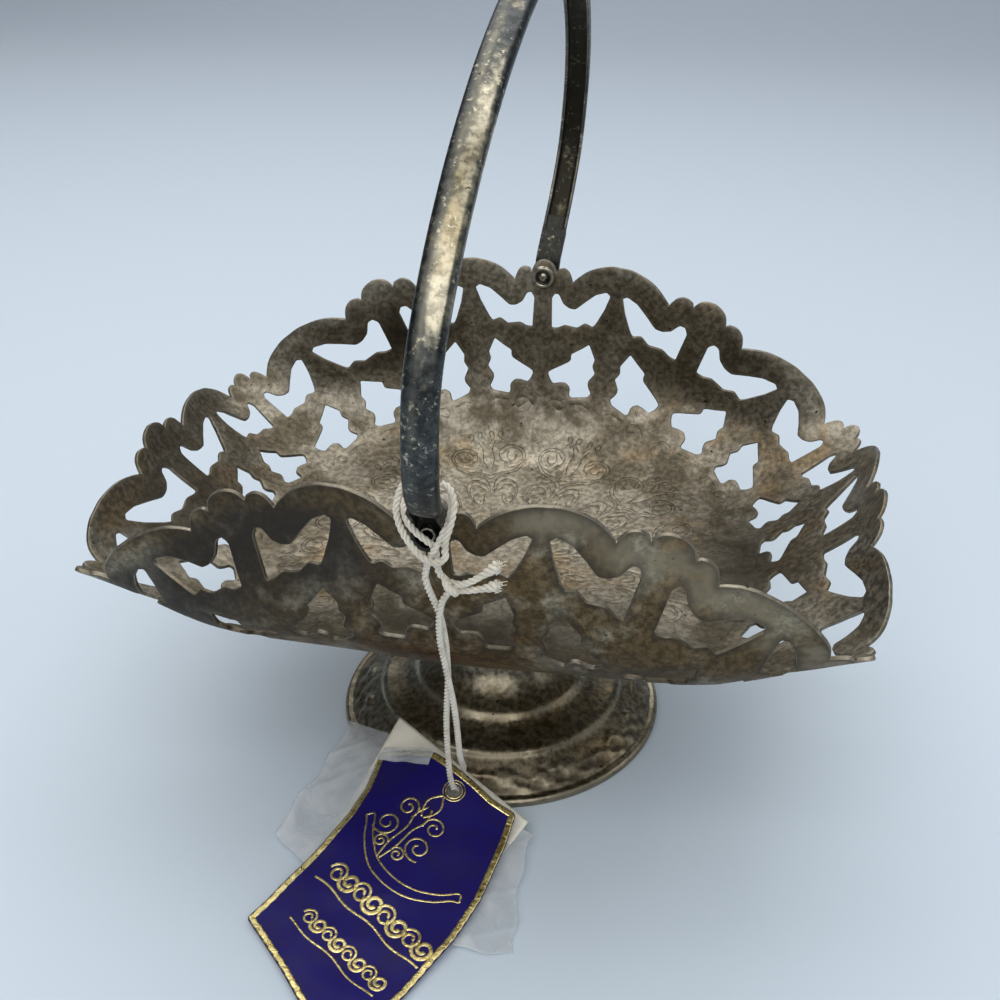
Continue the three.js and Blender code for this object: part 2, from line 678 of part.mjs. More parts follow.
const platedMetal = { color: 0x8f8b7f, roughness: 0.38, metalness: 0.95 };
const darkPlate = { color: 0x5c626a, roughness: 0.42, metalness: 0.9 };
const brightPlate = { color: 0xa9a698, roughness: 0.3, metalness: 1 };
const footPlate = { color: 0x7d776a, roughness: 0.34, metalness: 0.95 };
const navyPrint = { color: 0x14114f, roughness: 0.35, metalness: 0 };
const creamCard = { color: 0xd9cdb4, roughness: 0.8, metalness: 0 };
const clearFilm = { color: 0xe4ebf0, roughness: 0.15, metalness: 0, transparent: true, opacity: 0.35 };
const creamString = { color: 0xd6cbb5, roughness: 0.9, metalness: 0 };

function addPiece(group, name, geometry, finish) {
  const mesh = new THREE.Mesh(geometry, new THREE.MeshStandardMaterial(finish));
  mesh.name = name;
  group.add(mesh);
  return mesh;
}

const basket = new THREE.Group();
addPiece(basket, 'dish', makeDish(), platedMetal);
addPiece(basket, 'foot', makeFoot(), footPlate);

const pivots = new THREE.Group();
pivots.position.z = pivotHeight;
addPiece(pivots, 'rivet_far', makeRivet(), brightPlate);
addPiece(pivots, 'rivet_near', makeRivet(), brightPlate).rotation.z = Math.PI;
basket.add(pivots);

const swing = new THREE.Group();
swing.position.z = pivotHeight;
swing.rotation.y = restTilt;
addPiece(swing, 'handle', makeHandle(), darkPlate);
addPiece(swing, 'handle_end_near', makeHandleEnd(), darkPlate);
addPiece(swing, 'handle_end_far', makeHandleEnd(), darkPlate).rotation.z = Math.PI;
basket.add(swing);

addPiece(basket, 'tag_card', makeCard(), navyPrint);
addPiece(basket, 'tag_back_leaf', makeSheet(leafCorners, leafThickness, leafLayer), creamCard);
addPiece(basket, 'tag_film', makeSheet(filmCorners, filmThickness, filmLayer), clearFilm);
addPiece(basket, 'string_hitch', makeCord(hitchRoute), creamString);
addPiece(basket, 'string_left', makeCord(leftRoute), creamString);
addPiece(basket, 'string_right', makeCord(rightRoute), creamString);
addPiece(basket, 'string_knot', makeKnot(), creamString);
addPiece(basket, 'string_tail_upper', makeTail(tailUpperRoute), creamString);
addPiece(basket, 'string_tail_lower', makeTail(tailLowerRoute), creamString);

export default basket;
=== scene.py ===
"""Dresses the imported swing-handle basket: plated sheet, foot, handle, rivets, hang tag and string.

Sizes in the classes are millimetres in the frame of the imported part: +Z up, +Y towards the far pivot and +X
towards the right wing. A mesh is written in metres when it is finished.
"""

from __future__ import annotations

import logging
import math
from dataclasses import dataclass, field
from enum import Enum
from functools import reduce

import bmesh
import bpy
import numpy as np
from mathutils import Matrix, Vector
from mathutils.geometry import delaunay_2d_cdt

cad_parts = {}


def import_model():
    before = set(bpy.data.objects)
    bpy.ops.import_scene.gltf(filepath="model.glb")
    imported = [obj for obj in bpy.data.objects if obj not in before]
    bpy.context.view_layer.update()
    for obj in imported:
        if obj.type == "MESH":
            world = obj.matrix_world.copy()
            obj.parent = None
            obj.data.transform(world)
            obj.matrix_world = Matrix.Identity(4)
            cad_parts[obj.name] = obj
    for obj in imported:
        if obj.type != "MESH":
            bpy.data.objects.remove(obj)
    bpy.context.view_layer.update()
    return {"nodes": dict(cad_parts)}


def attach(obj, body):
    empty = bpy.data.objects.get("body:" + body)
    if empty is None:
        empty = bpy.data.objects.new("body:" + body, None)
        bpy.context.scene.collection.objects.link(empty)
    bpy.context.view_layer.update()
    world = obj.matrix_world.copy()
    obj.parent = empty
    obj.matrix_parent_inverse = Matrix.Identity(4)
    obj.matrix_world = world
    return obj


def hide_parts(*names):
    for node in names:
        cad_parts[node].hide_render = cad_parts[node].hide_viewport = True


log = logging.getLogger("basket")

MILLIMETRE = 0.001
Colour = tuple[float, float, float]


class Body(Enum):
    """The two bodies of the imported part."""

    BASKET = "basket"
    HANDLE = "handle"


# Lines and outlines


def smooth_step(low: float, high: float, value: np.ndarray) -> np.ndarray:
    """Rises from 0 at low to 1 at high as 3s^2 - 2s^3, where s is the share of the way."""
    share = np.clip((value - low) / (high - low), 0.0, 1.0)
    return share * share * (3.0 - 2.0 * share)


def unit(vectors: np.ndarray) -> np.ndarray:
    """Vectors scaled to a length of 1; a zero vector stays zero."""
    return vectors / np.maximum(np.linalg.norm(vectors, axis=-1, keepdims=True), 1e-9)


def right_of(along: np.ndarray) -> np.ndarray:
    """The directions to the right of flat directions, a quarter turn clockwise."""
    return np.stack([along[:, 1], -along[:, 0]], axis=1)


def bearings(count: int) -> np.ndarray:
    """[sine, cosine] of that many equal bearings round a circle."""
    angle = np.radians(np.arange(count) * 360.0 / count)
    return np.stack([np.sin(angle), np.cos(angle)], axis=1)


def lengths_along(line: np.ndarray) -> np.ndarray:
    """The length along a polyline at each of its points."""
    return np.concatenate([[0.0], np.cumsum(np.linalg.norm(np.diff(line, axis=0), axis=1))])


def spaced(line: np.ndarray, spacing: float) -> np.ndarray:
    """Points at an equal spacing along a polyline, its two ends among them.

    Args:
        line: The polyline's points, one to a row.
        spacing: The distance that is wanted between two points.

    Returns:
        The new points, by linear interpolation on the length along the polyline.
    """
    lengths = lengths_along(line)
    count = max(2, int(round(lengths[-1] / spacing)) + 1)
    wanted = np.linspace(0.0, lengths[-1], count)
    return np.stack([np.interp(wanted, lengths, line[:, k]) for k in range(line.shape[1])], axis=1)


def flowing(points: np.ndarray, spacing: float, closed: bool = False) -> np.ndarray:
    """A Catmull-Rom curve through points, given back at an equal spacing.

    Args:
        points: The points that it passes through.
        spacing: The distance between the points of the result.
        closed: Whether the last point joins the first.

    Returns:
        Each span is the cubic with half the chord of its neighbours as slope at both its ends.
    """
    points = np.asarray(points, float)
    if closed:
        padded = np.vstack([points[-1], points, points[:2]])
    else:
        padded = np.vstack([2 * points[0] - points[1], points, 2 * points[-1] - points[-2]])
    share = np.linspace(0.0, 1.0, 17)[:-1][None, :, None]
    before, start, end, after = (padded[k : len(padded) - 3 + k][:, None, :] for k in range(4))
    curve = 0.5 * (
        2 * start
        + (end - before) * share
        + (2 * before - 5 * start + 4 * end - after) * share**2
        + (3 * start - before - 3 * end + after) * share**3
    )
    line = np.vstack([curve.reshape(-1, points.shape[1]), padded[-2]])
    return spaced(line, spacing)


def softened(outline: np.ndarray, cut: float, spacing: float) -> np.ndarray:
    """A closed outline with each corner turned into a small curve, at an equal spacing.

    Args:
        outline: The corners in order.
        cut: How far from a corner its curve starts, at most 0.4 of the side.
        spacing: The distance between the points of the result.

    Returns:
        Each corner is the quadratic curve that leaves both sides at the cut. The last point isn't repeated.
    """
    corners = np.asarray(outline, float)
    behind = np.roll(corners, 1, axis=0) - corners
    ahead = np.roll(corners, -1, axis=0) - corners
    lengths = [np.linalg.norm(side, axis=1, keepdims=True) for side in (behind, ahead)]
    starts = corners + behind * np.minimum(cut / lengths[0], 0.4)
    ends = corners + ahead * np.minimum(cut / lengths[1], 0.4)
    share = np.linspace(0.0, 1.0, 5)[None, :, None]
    curve = (
        (1 - share) ** 2 * starts[:, None]
        + 2 * share * (1 - share) * corners[:, None]
        + share**2 * ends[:, None]
    )
    line = curve.reshape(-1, corners.shape[1])
    return spaced(np.vstack([line, line[:1]]), spacing)[:-1]


def turned(points: np.ndarray, degrees: float) -> np.ndarray:
    """Turns flat points clockwise seen from above, from +Y towards +X.

    Args:
        points: The points, [x, y] last.
        degrees: The angle.

    Returns:
        [x cos + y sin, y cos - x sin] of each.
    """
    angle = math.radians(degrees)
    cosine, sine = math.cos(angle), math.sin(angle)
    return np.stack([
        points[..., 0] * cosine + points[..., 1] * sine,
        points[..., 1] * cosine - points[..., 0] * sine,
    ], axis=-1)


def inside(points: np.ndarray, outline: np.ndarray) -> np.ndarray:
    """Tells the flat points inside a closed outline from those outside it.

    Args:
        points: The points.
        outline: The outline's corners in order.

    Returns:
        True where a ray from the point crosses an odd number of the outline's sides.
    """
    x, y = points[:, 0][:, None], points[:, 1][:, None]
    x1, y1 = outline[:, 0], outline[:, 1]
    x2, y2 = np.roll(x1, -1), np.roll(y1, -1)
    crosses = (y1 > y) != (y2 > y)
    rise = np.where(np.abs(y2 - y1) < 1e-12, 1e-12, y2 - y1)
    return (crosses & (x < (x2 - x1) * (y - y1) / rise + x1)).sum(axis=1) % 2 == 1


def nearest_distance(points: np.ndarray, marks: np.ndarray) -> np.ndarray:
    """Measures how far points are from a set of marks.

    Args:
        points: The points.
        marks: The marks.

    Returns:
        The distance from each point to its nearest mark.
    """
    found = np.empty(len(points))
    block = 500
    for start in range(0, len(points), block):
        part = points[start : start + block]
        found[start : start + block] = np.sqrt(
            ((part[:, None, :] - marks[None, :, :]) ** 2).sum(axis=2).min(axis=1)
        )
    return found


# Surfaces and meshes


def linked(name: str, data: bpy.types.ID) -> bpy.types.Object:
    """Adds an object of that name and data to the scene."""
    made = bpy.data.objects.new(name, data)
    bpy.context.scene.collection.objects.link(made)
    return made


def write_mask(mesh: bpy.types.Mesh, name: str, values: np.ndarray) -> None:
    """Gives a mesh a value at each of its points under a mask's name."""
    layer = mesh.attributes.new(name, "FLOAT", "POINT")
    layer.data.foreach_set("value", values.astype(np.float32))


@dataclass
class Surface:
    """Points in millimetres, the faces between them, and a value for each point under a mask's name."""

    points: np.ndarray
    quads: np.ndarray = field(default_factory=lambda: np.zeros((0, 4), int))
    triangles: np.ndarray = field(default_factory=lambda: np.zeros((0, 3), int))
    masks: dict[str, np.ndarray] = field(default_factory=dict)

    def joined(self, other: Surface) -> Surface:
        """Puts two surfaces together without merging their points.

        Args:
            other: The surface whose points come second.

        Returns:
            Both as one; a mask that one of them lacks is 0 there.
        """
        count = len(self.points)
        masks = {
            name: np.concatenate([
                surface.masks.get(name, np.zeros(len(surface.points))) for surface in (self, other)
            ])
            for name in {**self.masks, **other.masks}
        }
        return Surface(
            np.vstack([self.points, other.points]),
            np.vstack([self.quads, other.quads + count]),
            np.vstack([self.triangles, other.triangles + count]),
            masks,
        )

    def piece(self, name: str, material: bpy.types.Material) -> bpy.types.Object:
        """Writes the surface into a new smooth-shaded object.

        Args:
            name: The object's name.
            material: Its material.

        Returns:
            The object, in the scene, in metres.
        """
        mesh = bpy.data.meshes.new(name)
        faces = self.quads.tolist() + self.triangles.tolist()
        mesh.from_pydata((self.points * MILLIMETRE).tolist(), [], faces)
        mesh.polygons.foreach_set("use_smooth", np.ones(len(mesh.polygons), bool))
        for mask, values in self.masks.items():
            write_mask(mesh, mask, values)
        mesh.validate()
        mesh.update()
        mesh.materials.append(material)
        return linked(name, mesh)


def grid_quads(rows: int, columns: int, wrap_rows: bool = False, wrap_columns: bool = False) -> np.ndarray:
    """The quads of a grid of points that is stored row by row.

    Args:
        rows: The number of rows of points.
        columns: The number of points in a row.
        wrap_rows: Whether the last row joins the first.
        wrap_columns: Whether the last point of a row joins its first.

    Returns:
        Four indices to a row, in the order down a row and then along it.
    """
    i = np.arange(rows if wrap_rows else rows - 1)
    j = np.arange(columns if wrap_columns else columns - 1)
    i, j = (part.ravel() for part in np.meshgrid(i, j, indexing="ij"))
    below, right = (i + 1) % rows, (j + 1) % columns
    corners = [(i, j), (below, j), (below, right), (i, right)]
    return np.stack([row * columns + column for row, column in corners], axis=1)


def unit_grid(rows: int, columns: int) -> tuple[np.ndarray, np.ndarray]:
    """Two columns of shares from 0 to 1, along and down a grid of points that is stored row by row."""
    along, down = np.meshgrid(np.linspace(0, 1, columns), np.linspace(0, 1, rows))
    return along.reshape(-1, 1), down.reshape(-1, 1)


def bilinear(corners: tuple, along: np.ndarray, down: np.ndarray) -> np.ndarray:
    """Points between four corners, which are named round from the start of the upper side."""
    a, b, c, d = (np.array(corner, float) for corner in corners)
    return (1 - down) * ((1 - along) * a + along * b) + down * ((1 - along) * d + along * c)


def capped(grid: np.ndarray) -> Surface:
    """A closed surface over a grid of points whose rows are loops, with a fan of triangles over each end.

    Args:
        grid: The points, (rows, columns, 3).

    Returns:
        The grid's points, then the middle of its first row and the middle of its last.
    """
    rows, columns = grid.shape[:2]
    points = np.vstack([grid.reshape(-1, 3), grid[0].mean(axis=0), grid[-1].mean(axis=0)])
    here = np.arange(columns)
    following = (here + 1) % columns
    tail = (rows - 1) * columns
    fans = np.vstack([
        np.stack([following, here, np.full(columns, rows * columns)], axis=1),
        np.stack([tail + here, tail + following, np.full(columns, rows * columns + 1)], axis=1),
    ])
    return Surface(points, grid_quads(rows, columns, wrap_columns=True)[:, ::-1], fans)


def swept(section: np.ndarray, centres: np.ndarray, across: np.ndarray, outward: np.ndarray) -> Surface:
    """A closed section carried along a line and capped.

    Args:
        section: Points [across, outward], counter-clockwise, either (count, 2) or (rows, count, 2).
        centres: The line's points.
        across: The section's first direction at each of them.
        outward: Its second direction.

    Returns:
        point(i, j) = centre(i) + section(j).x times across(i) + section(j).y times outward(i).
    """
    section = np.broadcast_to(section, (len(centres), *section.shape[-2:]))
    return capped(
        centres[:, None, :] + section[..., 0:1] * across[:, None, :] + section[..., 1:2] * outward[:, None, :]
    )


def outwards(piece: bpy.types.Object) -> bpy.types.Object:
    """Turns every face of a closed piece to point out of it.

    Args:
        piece: The piece.

    Returns:
        The same piece.
    """
    work = bmesh.new()
    work.from_mesh(piece.data)
    bmesh.ops.recalc_face_normals(work, faces=work.faces)
    work.to_mesh(piece.data)
    work.free()
    return piece


def place(piece: bpy.types.Object, body: Body, slot: str, *nodes: str) -> bpy.types.Object:
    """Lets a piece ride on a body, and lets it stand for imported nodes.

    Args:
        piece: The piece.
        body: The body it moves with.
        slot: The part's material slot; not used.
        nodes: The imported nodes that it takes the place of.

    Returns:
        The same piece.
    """
    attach(piece, body.value)
    if nodes:
        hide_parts(*nodes)
    log.info("%s: %d faces on %s", piece.name, len(piece.data.polygons), body.value)
    return piece


def place_closed(surface: Surface, name: str, material: bpy.types.Material, body: Body, slot: str,
                 *nodes: str) -> bpy.types.Object:
    """Writes a closed surface as a piece whose faces point out of it, and places it.

    Args:
        surface: The surface.
        name: The piece's name.
        material: Its material.
        body: The body it moves with.
        slot: The part's material slot.
        nodes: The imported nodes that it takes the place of.

    Returns:
        The piece.
    """
    return place(outwards(surface.piece(name, material)), body, slot, *nodes)


# Flat sheets that are cut out before they are formed


@dataclass
class CutSheet:
    """A flat triangulated sheet, counter-clockwise seen from above."""

    points: np.ndarray
    triangles: np.ndarray

    @staticmethod
    def cut(
        outline: np.ndarray, openings: list[np.ndarray], strokes: list[np.ndarray], spacing: float
    ) -> CutSheet:
        """Fills an outline with triangles whose sides follow every outline and stroke.

        Args:
            outline: The sheet's closed outline.
            openings: Closed outlines of what is cut out of it.
            strokes: Open lines that the triangles' sides must follow.
            spacing: The usual side of a triangle.

        Returns:
            A constrained Delaunay triangulation over a hexagonal grid, less the triangles in an opening and
            those without an area.
        """

        def within(places: np.ndarray) -> np.ndarray:
            """Whether each place is on the sheet and in none of its openings."""
            kept = inside(places, outline)
            for opening in openings:
                kept &= ~inside(places, opening)
            return kept

        edges: list[tuple[int, int]] = []
        count = 0
        closed = [outline, *openings]
        for number, line in enumerate([*closed, *strokes]):
            indices = list(range(count, count + len(line)))
            edges += list(zip(indices[:-1], indices[1:], strict=True))
            if number < len(closed):
                edges.append((indices[-1], indices[0]))
            count += len(line)
        lines = np.vstack([*closed, *strokes])
        low, high = outline.min(axis=0), outline.max(axis=0)
        row_step = spacing * math.sqrt(3) / 2
        x, y = np.meshgrid(
            np.arange(low[0], high[0] + spacing, spacing), np.arange(low[1], high[1] + row_step, row_step)
        )
        x = x + (np.arange(len(x)) % 2)[:, None] * spacing / 2
        grid = np.stack([x.ravel(), y.ravel()], axis=1)
        grid = grid[within(grid)]
        grid = grid[nearest_distance(grid, lines) > 0.6 * spacing]
        every = np.vstack([lines, grid])
        result = delaunay_2d_cdt([Vector(point) for point in every.tolist()], edges, [], 0, 1e-5)
        flat = np.array([tuple(point) for point in result[0]])
        triangles = np.array([face for face in result[2] if len(face) == 3])
        triangles = triangles[within(flat[triangles].mean(axis=1))]
        a, b, c = (flat[triangles[:, k]] for k in range(3))
        area = (b[:, 0] - a[:, 0]) * (c[:, 1] - a[:, 1]) - (b[:, 1] - a[:, 1]) * (c[:, 0] - a[:, 0])
        longest = np.max([np.linalg.norm(q - p, axis=1) for p, q in ((a, b), (b, c), (c, a))], axis=0)
        triangles = np.where((area < 0)[:, None], triangles[:, ::-1], triangles)
        triangles = triangles[np.abs(area) > 2e-4 * longest]
        used, triangles = np.unique(triangles, return_inverse=True)
        return CutSheet(flat[used], triangles.reshape(-1, 3))

    def rim(self) -> tuple[np.ndarray, np.ndarray]:
        """Finds the cut edges.

        Returns:
            The edges as pairs of points, each in the direction that keeps the sheet on its left, and the flat
            direction out of the sheet at every point, which is zero away from the edges.
        """
        sides = np.vstack([self.triangles[:, pair] for pair in ([0, 1], [1, 2], [2, 0])])
        key = sides.min(axis=1) * len(self.points) + sides.max(axis=1)
        _, index, counts = np.unique(key, return_index=True, return_counts=True)
        edges = sides[index[counts == 1]]
        along = self.points[edges[:, 1]] - self.points[edges[:, 0]]
        out = unit(right_of(along))
        directions = np.zeros_like(self.points)
        np.add.at(directions, edges[:, 0], out)
        np.add.at(directions, edges[:, 1], out)
        return edges, unit(directions)


def merged_copies(copies: list[tuple[np.ndarray, np.ndarray, dict[str, np.ndarray]]]) -> tuple:
    """Joins flat sheets that meet along shared lines into one.

    Args:
        copies: Points, triangles and masks of each.

    Returns:
        The points, triangles and masks of the whole, where points within a micrometre are one.
    """
    places, faces, values = zip(*copies, strict=True)
    points = np.vstack(places)
    offsets = np.cumsum([0] + [len(part) for part in places[:-1]])
    triangles = np.vstack([part + offset for part, offset in zip(faces, offsets, strict=True)])
    rounded = np.round(points * 1000 + 0.1234).astype(np.int64)
    _, first, inverse = np.unique(rounded, axis=0, return_index=True, return_inverse=True)
    masks = {name: np.concatenate([part[name] for part in values])[first] for name in values[0]}
    triangles = inverse.reshape(-1)[triangles]
    whole = (triangles[:, 0] != triangles[:, 1]) & (triangles[:, 1] != triangles[:, 2])
    whole &= triangles[:, 2] != triangles[:, 0]
    return points[first], triangles[whole], masks


# Shader nodes


class Shader:
    """Writes the nodes of one material or one node group."""

    def __init__(self, tree: bpy.types.NodeTree) -> None:
        """Starts on a material's or a group's node tree."""
        self.tree = tree

    def node(self, kind: str, inputs: dict | None = None, **settings: object) -> bpy.types.Node:
        """Adds a node.

        Args:
            kind: The node's class.
            inputs: A value or a socket for each input, by name or number.
            settings: The node's own properties.

        Returns:
            The node.
        """
        made = self.tree.nodes.new(kind)
        for name, value in settings.items():
            setattr(made, name, value)
        for key, value in (inputs or {}).items():
            self.feed(made.inputs[key], value)
        return made

    def feed(self, socket: bpy.types.NodeSocket, value: object) -> None:
        """Links a socket to another, or sets its value.

        Args:
            socket: The input.
            value: The socket that it is linked to, or its value; a colour may be without its alpha.
        """
        if isinstance(value, bpy.types.NodeSocket):
            self.tree.links.new(value, socket)
        elif isinstance(value, tuple) and len(value) == 3 and socket.type == "RGBA":
            socket.default_value = (*value, 1.0)
        else:
            socket.default_value = value

    def maths(self, operation: str, *values: object) -> bpy.types.NodeSocket:
        """One Math node over up to three values."""
        return self.node("ShaderNodeMath", dict(enumerate(values)), operation=operation).outputs[0]

    def blend(self, factor: object, first: object, second: object, way: str = "MIX") -> bpy.types.NodeSocket:
        """A colour between two colours, or the second laid over the first in the way that is named."""
        inputs = {0: factor, 6: first, 7: second}
        return self.node("ShaderNodeMix", inputs, data_type="RGBA", blend_type=way).outputs[2]

    def ranged(self, value: object, low: float, high: float, start: float = 0.0, end: float = 1.0) -> object:
        """Maps low..high onto start..end smoothly and holds it there."""
        inputs = {"Value": value, "From Min": low, "From Max": high, "To Min": start, "To Max": end}
        return self.node("ShaderNodeMapRange", inputs, interpolation_type="SMOOTHSTEP").outputs[0]

    def noise(self, vector: object, scale: float, detail: float = 3.0, roughness: float = 0.55,
              distortion: float = 0.0) -> bpy.types.NodeSocket:
        """Adds a noise texture.

        Args:
            vector: Where it is read, in metres.
            scale: About how many features it has to the metre.
            detail: How many finer layers it has.
            roughness: How strong the finer layers are.
            distortion: How much it is warped.

        Returns:
            Its value.
        """
        inputs = {
            "Vector": vector, "Scale": scale, "Detail": detail, "Roughness": roughness,
            "Distortion": distortion,
        }
        return self.node("ShaderNodeTexNoise", inputs).outputs[0]

    def place(self) -> bpy.types.NodeSocket:
        """The point's place on the object, in metres."""
        return self.node("ShaderNodeTexCoord").outputs["Object"]

    def mask(self, name: str) -> bpy.types.NodeSocket:
        """A value that the mesh carries under that name."""
        return self.node("ShaderNodeAttribute", attribute_name=name).outputs["Fac"]

    def bump(self, surface: bpy.types.Node, strength: float, distance: float, height: object) -> None:
        """Tilts a surface shader's normal by a height, whose unit is the distance in metres."""
        inputs = {"Strength": strength, "Distance": distance, "Height": height}
        self.feed(surface.inputs["Normal"], self.node("ShaderNodeBump", inputs).outputs[0])


def new_material(name: str, constants: dict[str, float]) -> tuple[bpy.types.Material, Shader, bpy.types.Node]:
    """Makes a material.

    Args:
        name: Its name.
        constants: The fixed values of its shader's sockets, by the socket's name.

    Returns:
        The material, the writer of its nodes and its Principled BSDF.
    """
    made = bpy.data.materials.new(name)
    made.use_nodes = True
    surface = made.node_tree.nodes["Principled BSDF"]
    for label, value in constants.items():
        surface.inputs[label].default_value = value
    return made, Shader(made.node_tree), surface


def node_group(name: str, inputs: list[tuple[str, str, object]], outputs: list[tuple[str, str]]) -> tuple:
    """Makes an empty shader node group.

    Args:
        name: The group's name.
        inputs: Name, kind of socket and starting value of each input.
        outputs: Name and kind of each output.

    Returns:
        The group, its writer, the sockets that its inputs arrive on, and the node that takes its outputs.
    """
    group = bpy.data.node_groups.new(name, "ShaderNodeTree")
    for label, kind, value in inputs:
        socket = group.interface.new_socket(label, in_out="INPUT", socket_type=kind)
        if value is not None:
            socket.default_value = value
    for label, kind in outputs:
        group.interface.new_socket(label, in_out="OUTPUT", socket_type=kind)
    shader = Shader(group)
    arrives = shader.node("NodeGroupInput").outputs
    leaves = shader.node("NodeGroupOutput").inputs
    return group, shader, arrives, leaves


def tarnish_group() -> bpy.types.NodeTree:
    """Worn plate: clean metal with clouds of tarnish, dark recesses and painted shade, bright edges, pits and
    grain.

    Returns:
        The group. Its film of tarnish is a smooth step over coarse and fine clouds and the amount,
        and the other layers are laid over it in turn: specks, worn edges, bare flecks, recesses
        with painted shade, and pits.
    """
    number, colour, vector = "NodeSocketFloat", "NodeSocketColor", "NodeSocketVector"
    group, shader, arrives, leaves = node_group(
        "worn plate",
        [
            ("Vector", vector, None), ("Clean", colour, (0.5, 0.5, 0.5, 1)),
            ("Warm", colour, (0.5, 0.4, 0.3, 1)), ("Tarnish", colour, (0.1, 0.1, 0.1, 1)),
            ("Recess and shade colour", colour, (0.02, 0.02, 0.02, 1)), ("Amount", number, 0.5),
            ("Recess and shade", number, 0.0), ("Worn edge", number, 0.0), ("Smoothness", number, 0.3),
            ("Bare", number, 0.0),
        ],
        [("Color", colour), ("Roughness", number), ("Height", number)],
    )
    place = arrives["Vector"]
    clouds = shader.noise(place, 28.0, 5.0, 0.6, 0.6)
    patches = shader.noise(place, 95.0, 4.0, 0.62, 0.4)
    specks = shader.noise(place, 620.0, 3.0, 0.6)
    grain = shader.noise(place, 2300.0, 2.0, 0.5)
    mixed = shader.maths("MULTIPLY_ADD", clouds, 0.5, shader.maths("MULTIPLY", patches, 0.5))
    shifted = shader.maths("ADD", mixed, shader.maths("MULTIPLY_ADD", arrives["Amount"], 0.3, -0.15))
    film = shader.ranged(shifted, 0.42, 0.57)
    warm = shader.ranged(shader.noise(place, 42.0, 3.0, 0.5, 0.3), 0.5, 0.66)
    plate = shader.blend(warm, arrives["Clean"], arrives["Warm"])
    dulled = shader.blend(film, plate, arrives["Tarnish"])
    speckle = shader.ranged(specks, 0.36, 0.66, 0.6, 1.26)
    grey = shader.node("ShaderNodeCombineColor", {channel: speckle for channel in range(3)}).outputs[0]
    speckled = shader.blend(1.0, dulled, grey, "MULTIPLY")
    worn = shader.maths("MULTIPLY", arrives["Worn edge"], shader.ranged(patches, 0.38, 0.6, 0.25, 1.0))
    edged = shader.blend(worn, speckled, arrives["Clean"])
    coarse, fine = shader.noise(place, 150.0, 3.0, 0.6), shader.noise(place, 700.0, 4.0, 0.7)
    clustered = shader.maths("MULTIPLY_ADD", coarse, 0.45, fine)
    flecks = shader.maths("MULTIPLY", arrives["Bare"], shader.ranged(clustered, 0.79, 0.94))
    flecked = shader.blend(flecks, edged, (0.62, 0.56, 0.42))
    # Painted shade: besides dark hollows, this mask carries shade painted on the dish's slopes, near side,
    # cut walls and the outside round its openings, and in the rivets' bores, laid in as the dark colour.
    dark = shader.blend(arrives["Recess and shade"], flecked, arrives["Recess and shade colour"])
    pits = shader.ranged(shader.noise(place, 520.0, 2.0, 0.5), 0.7, 0.76)
    shader.feed(leaves["Color"], shader.blend(pits, dark, arrives["Recess and shade colour"]))
    rough = shader.maths("MULTIPLY_ADD", film, 0.14, arrives["Smoothness"])
    rough = shader.maths("MULTIPLY_ADD", shader.maths("SUBTRACT", specks, 0.5), 0.35, rough)
    rough = shader.maths("MULTIPLY_ADD", arrives["Recess and shade"], 0.3, rough)
    shader.feed(leaves["Roughness"], shader.node("ShaderNodeClamp", {0: rough, 1: 0.12, 2: 0.9}).outputs[0])
    height = shader.maths("MULTIPLY_ADD", patches, 1.2, shader.maths("MULTIPLY", specks, 0.2))
    height = shader.maths("MULTIPLY_ADD", grain, 0.12, height)
    height = shader.maths("MULTIPLY_ADD", pits, -0.5, height)
    shader.feed(leaves["Height"], height)
    return group


@dataclass(frozen=True)
class PlateFinish:
    """A plated finish: its colours, and how much of it is tarnished, worn and bare."""

    name: str
    clean: Colour
    warm: Colour
    tarnish: Colour
    recess_and_shade: Colour
    amount: float
    smoothness: float
    bare: float = 0.0
    bump: float = 0.12

    def plate(self, shader: Shader, group: bpy.types.NodeTree, shift: float = 0.0) -> bpy.types.Node:
        """Adds one worn plate group in this finish's colours.

        Args:
            shader: The writer of the material's nodes.
            group: The worn plate group.
            shift: How far its clouds are moved, in metres.

        Returns:
            The group's node, fed with the piece's masks for dark recesses and painted shade, worn edges, and
            tarnish with some painted light and shadow.
        """
        made = shader.node("ShaderNodeGroup", node_tree=group)
        place = shader.place()
        if shift:
            inputs = {0: place, 1: (shift, shift, shift)}
            place = shader.node("ShaderNodeVectorMath", inputs, operation="ADD").outputs[0]
        # The stain mask holds tarnish, and on the dish and handle also painted light, painted shadow and
        # painted shade.
        amount = shader.maths("ADD", shader.mask("stain"), self.amount)
        feeds = {
            "Vector": place, "Clean": self.clean, "Warm": self.warm, "Tarnish": self.tarnish,
            "Recess and shade colour": self.recess_and_shade, "Amount": amount, "Recess and shade": shader.mask("recess_and_shade"),
            "Worn edge": shader.mask("edge"), "Smoothness": self.smoothness, "Bare": self.bare,
        }
        for label, value in feeds.items():
            shader.feed(made.inputs[label], value)
        return made

    def material(self, group: bpy.types.NodeTree, outside: PlateFinish | None = None) -> bpy.types.Material:
        """Builds the metal, with another finish where the piece's outside mask is 1.

        Args:
            group: The worn plate group.
            outside: The finish of the outside, or None.

        Returns:
            The material.
        """
        made, shader, metal = new_material(self.name, {"Metallic": 1.0, "Specular IOR Level": 0.4})
        plate = self.plate(shader, group)
        colour, rough, height = (plate.outputs[name] for name in ("Color", "Roughness", "Height"))
        if outside is not None:
            under = outside.plate(shader, group, 0.37)
            mask = shader.mask("outside")
            colour = shader.blend(mask, colour, under.outputs["Color"])
            inputs = {0: mask, 2: rough, 3: under.outputs["Roughness"]}
            rough = shader.node("ShaderNodeMix", inputs).outputs[0]
        shader.feed(metal.inputs["Base Color"], colour)
        shader.feed(metal.inputs["Roughness"], rough)
        shader.bump(metal, self.bump, 0.0006, height)
        return made


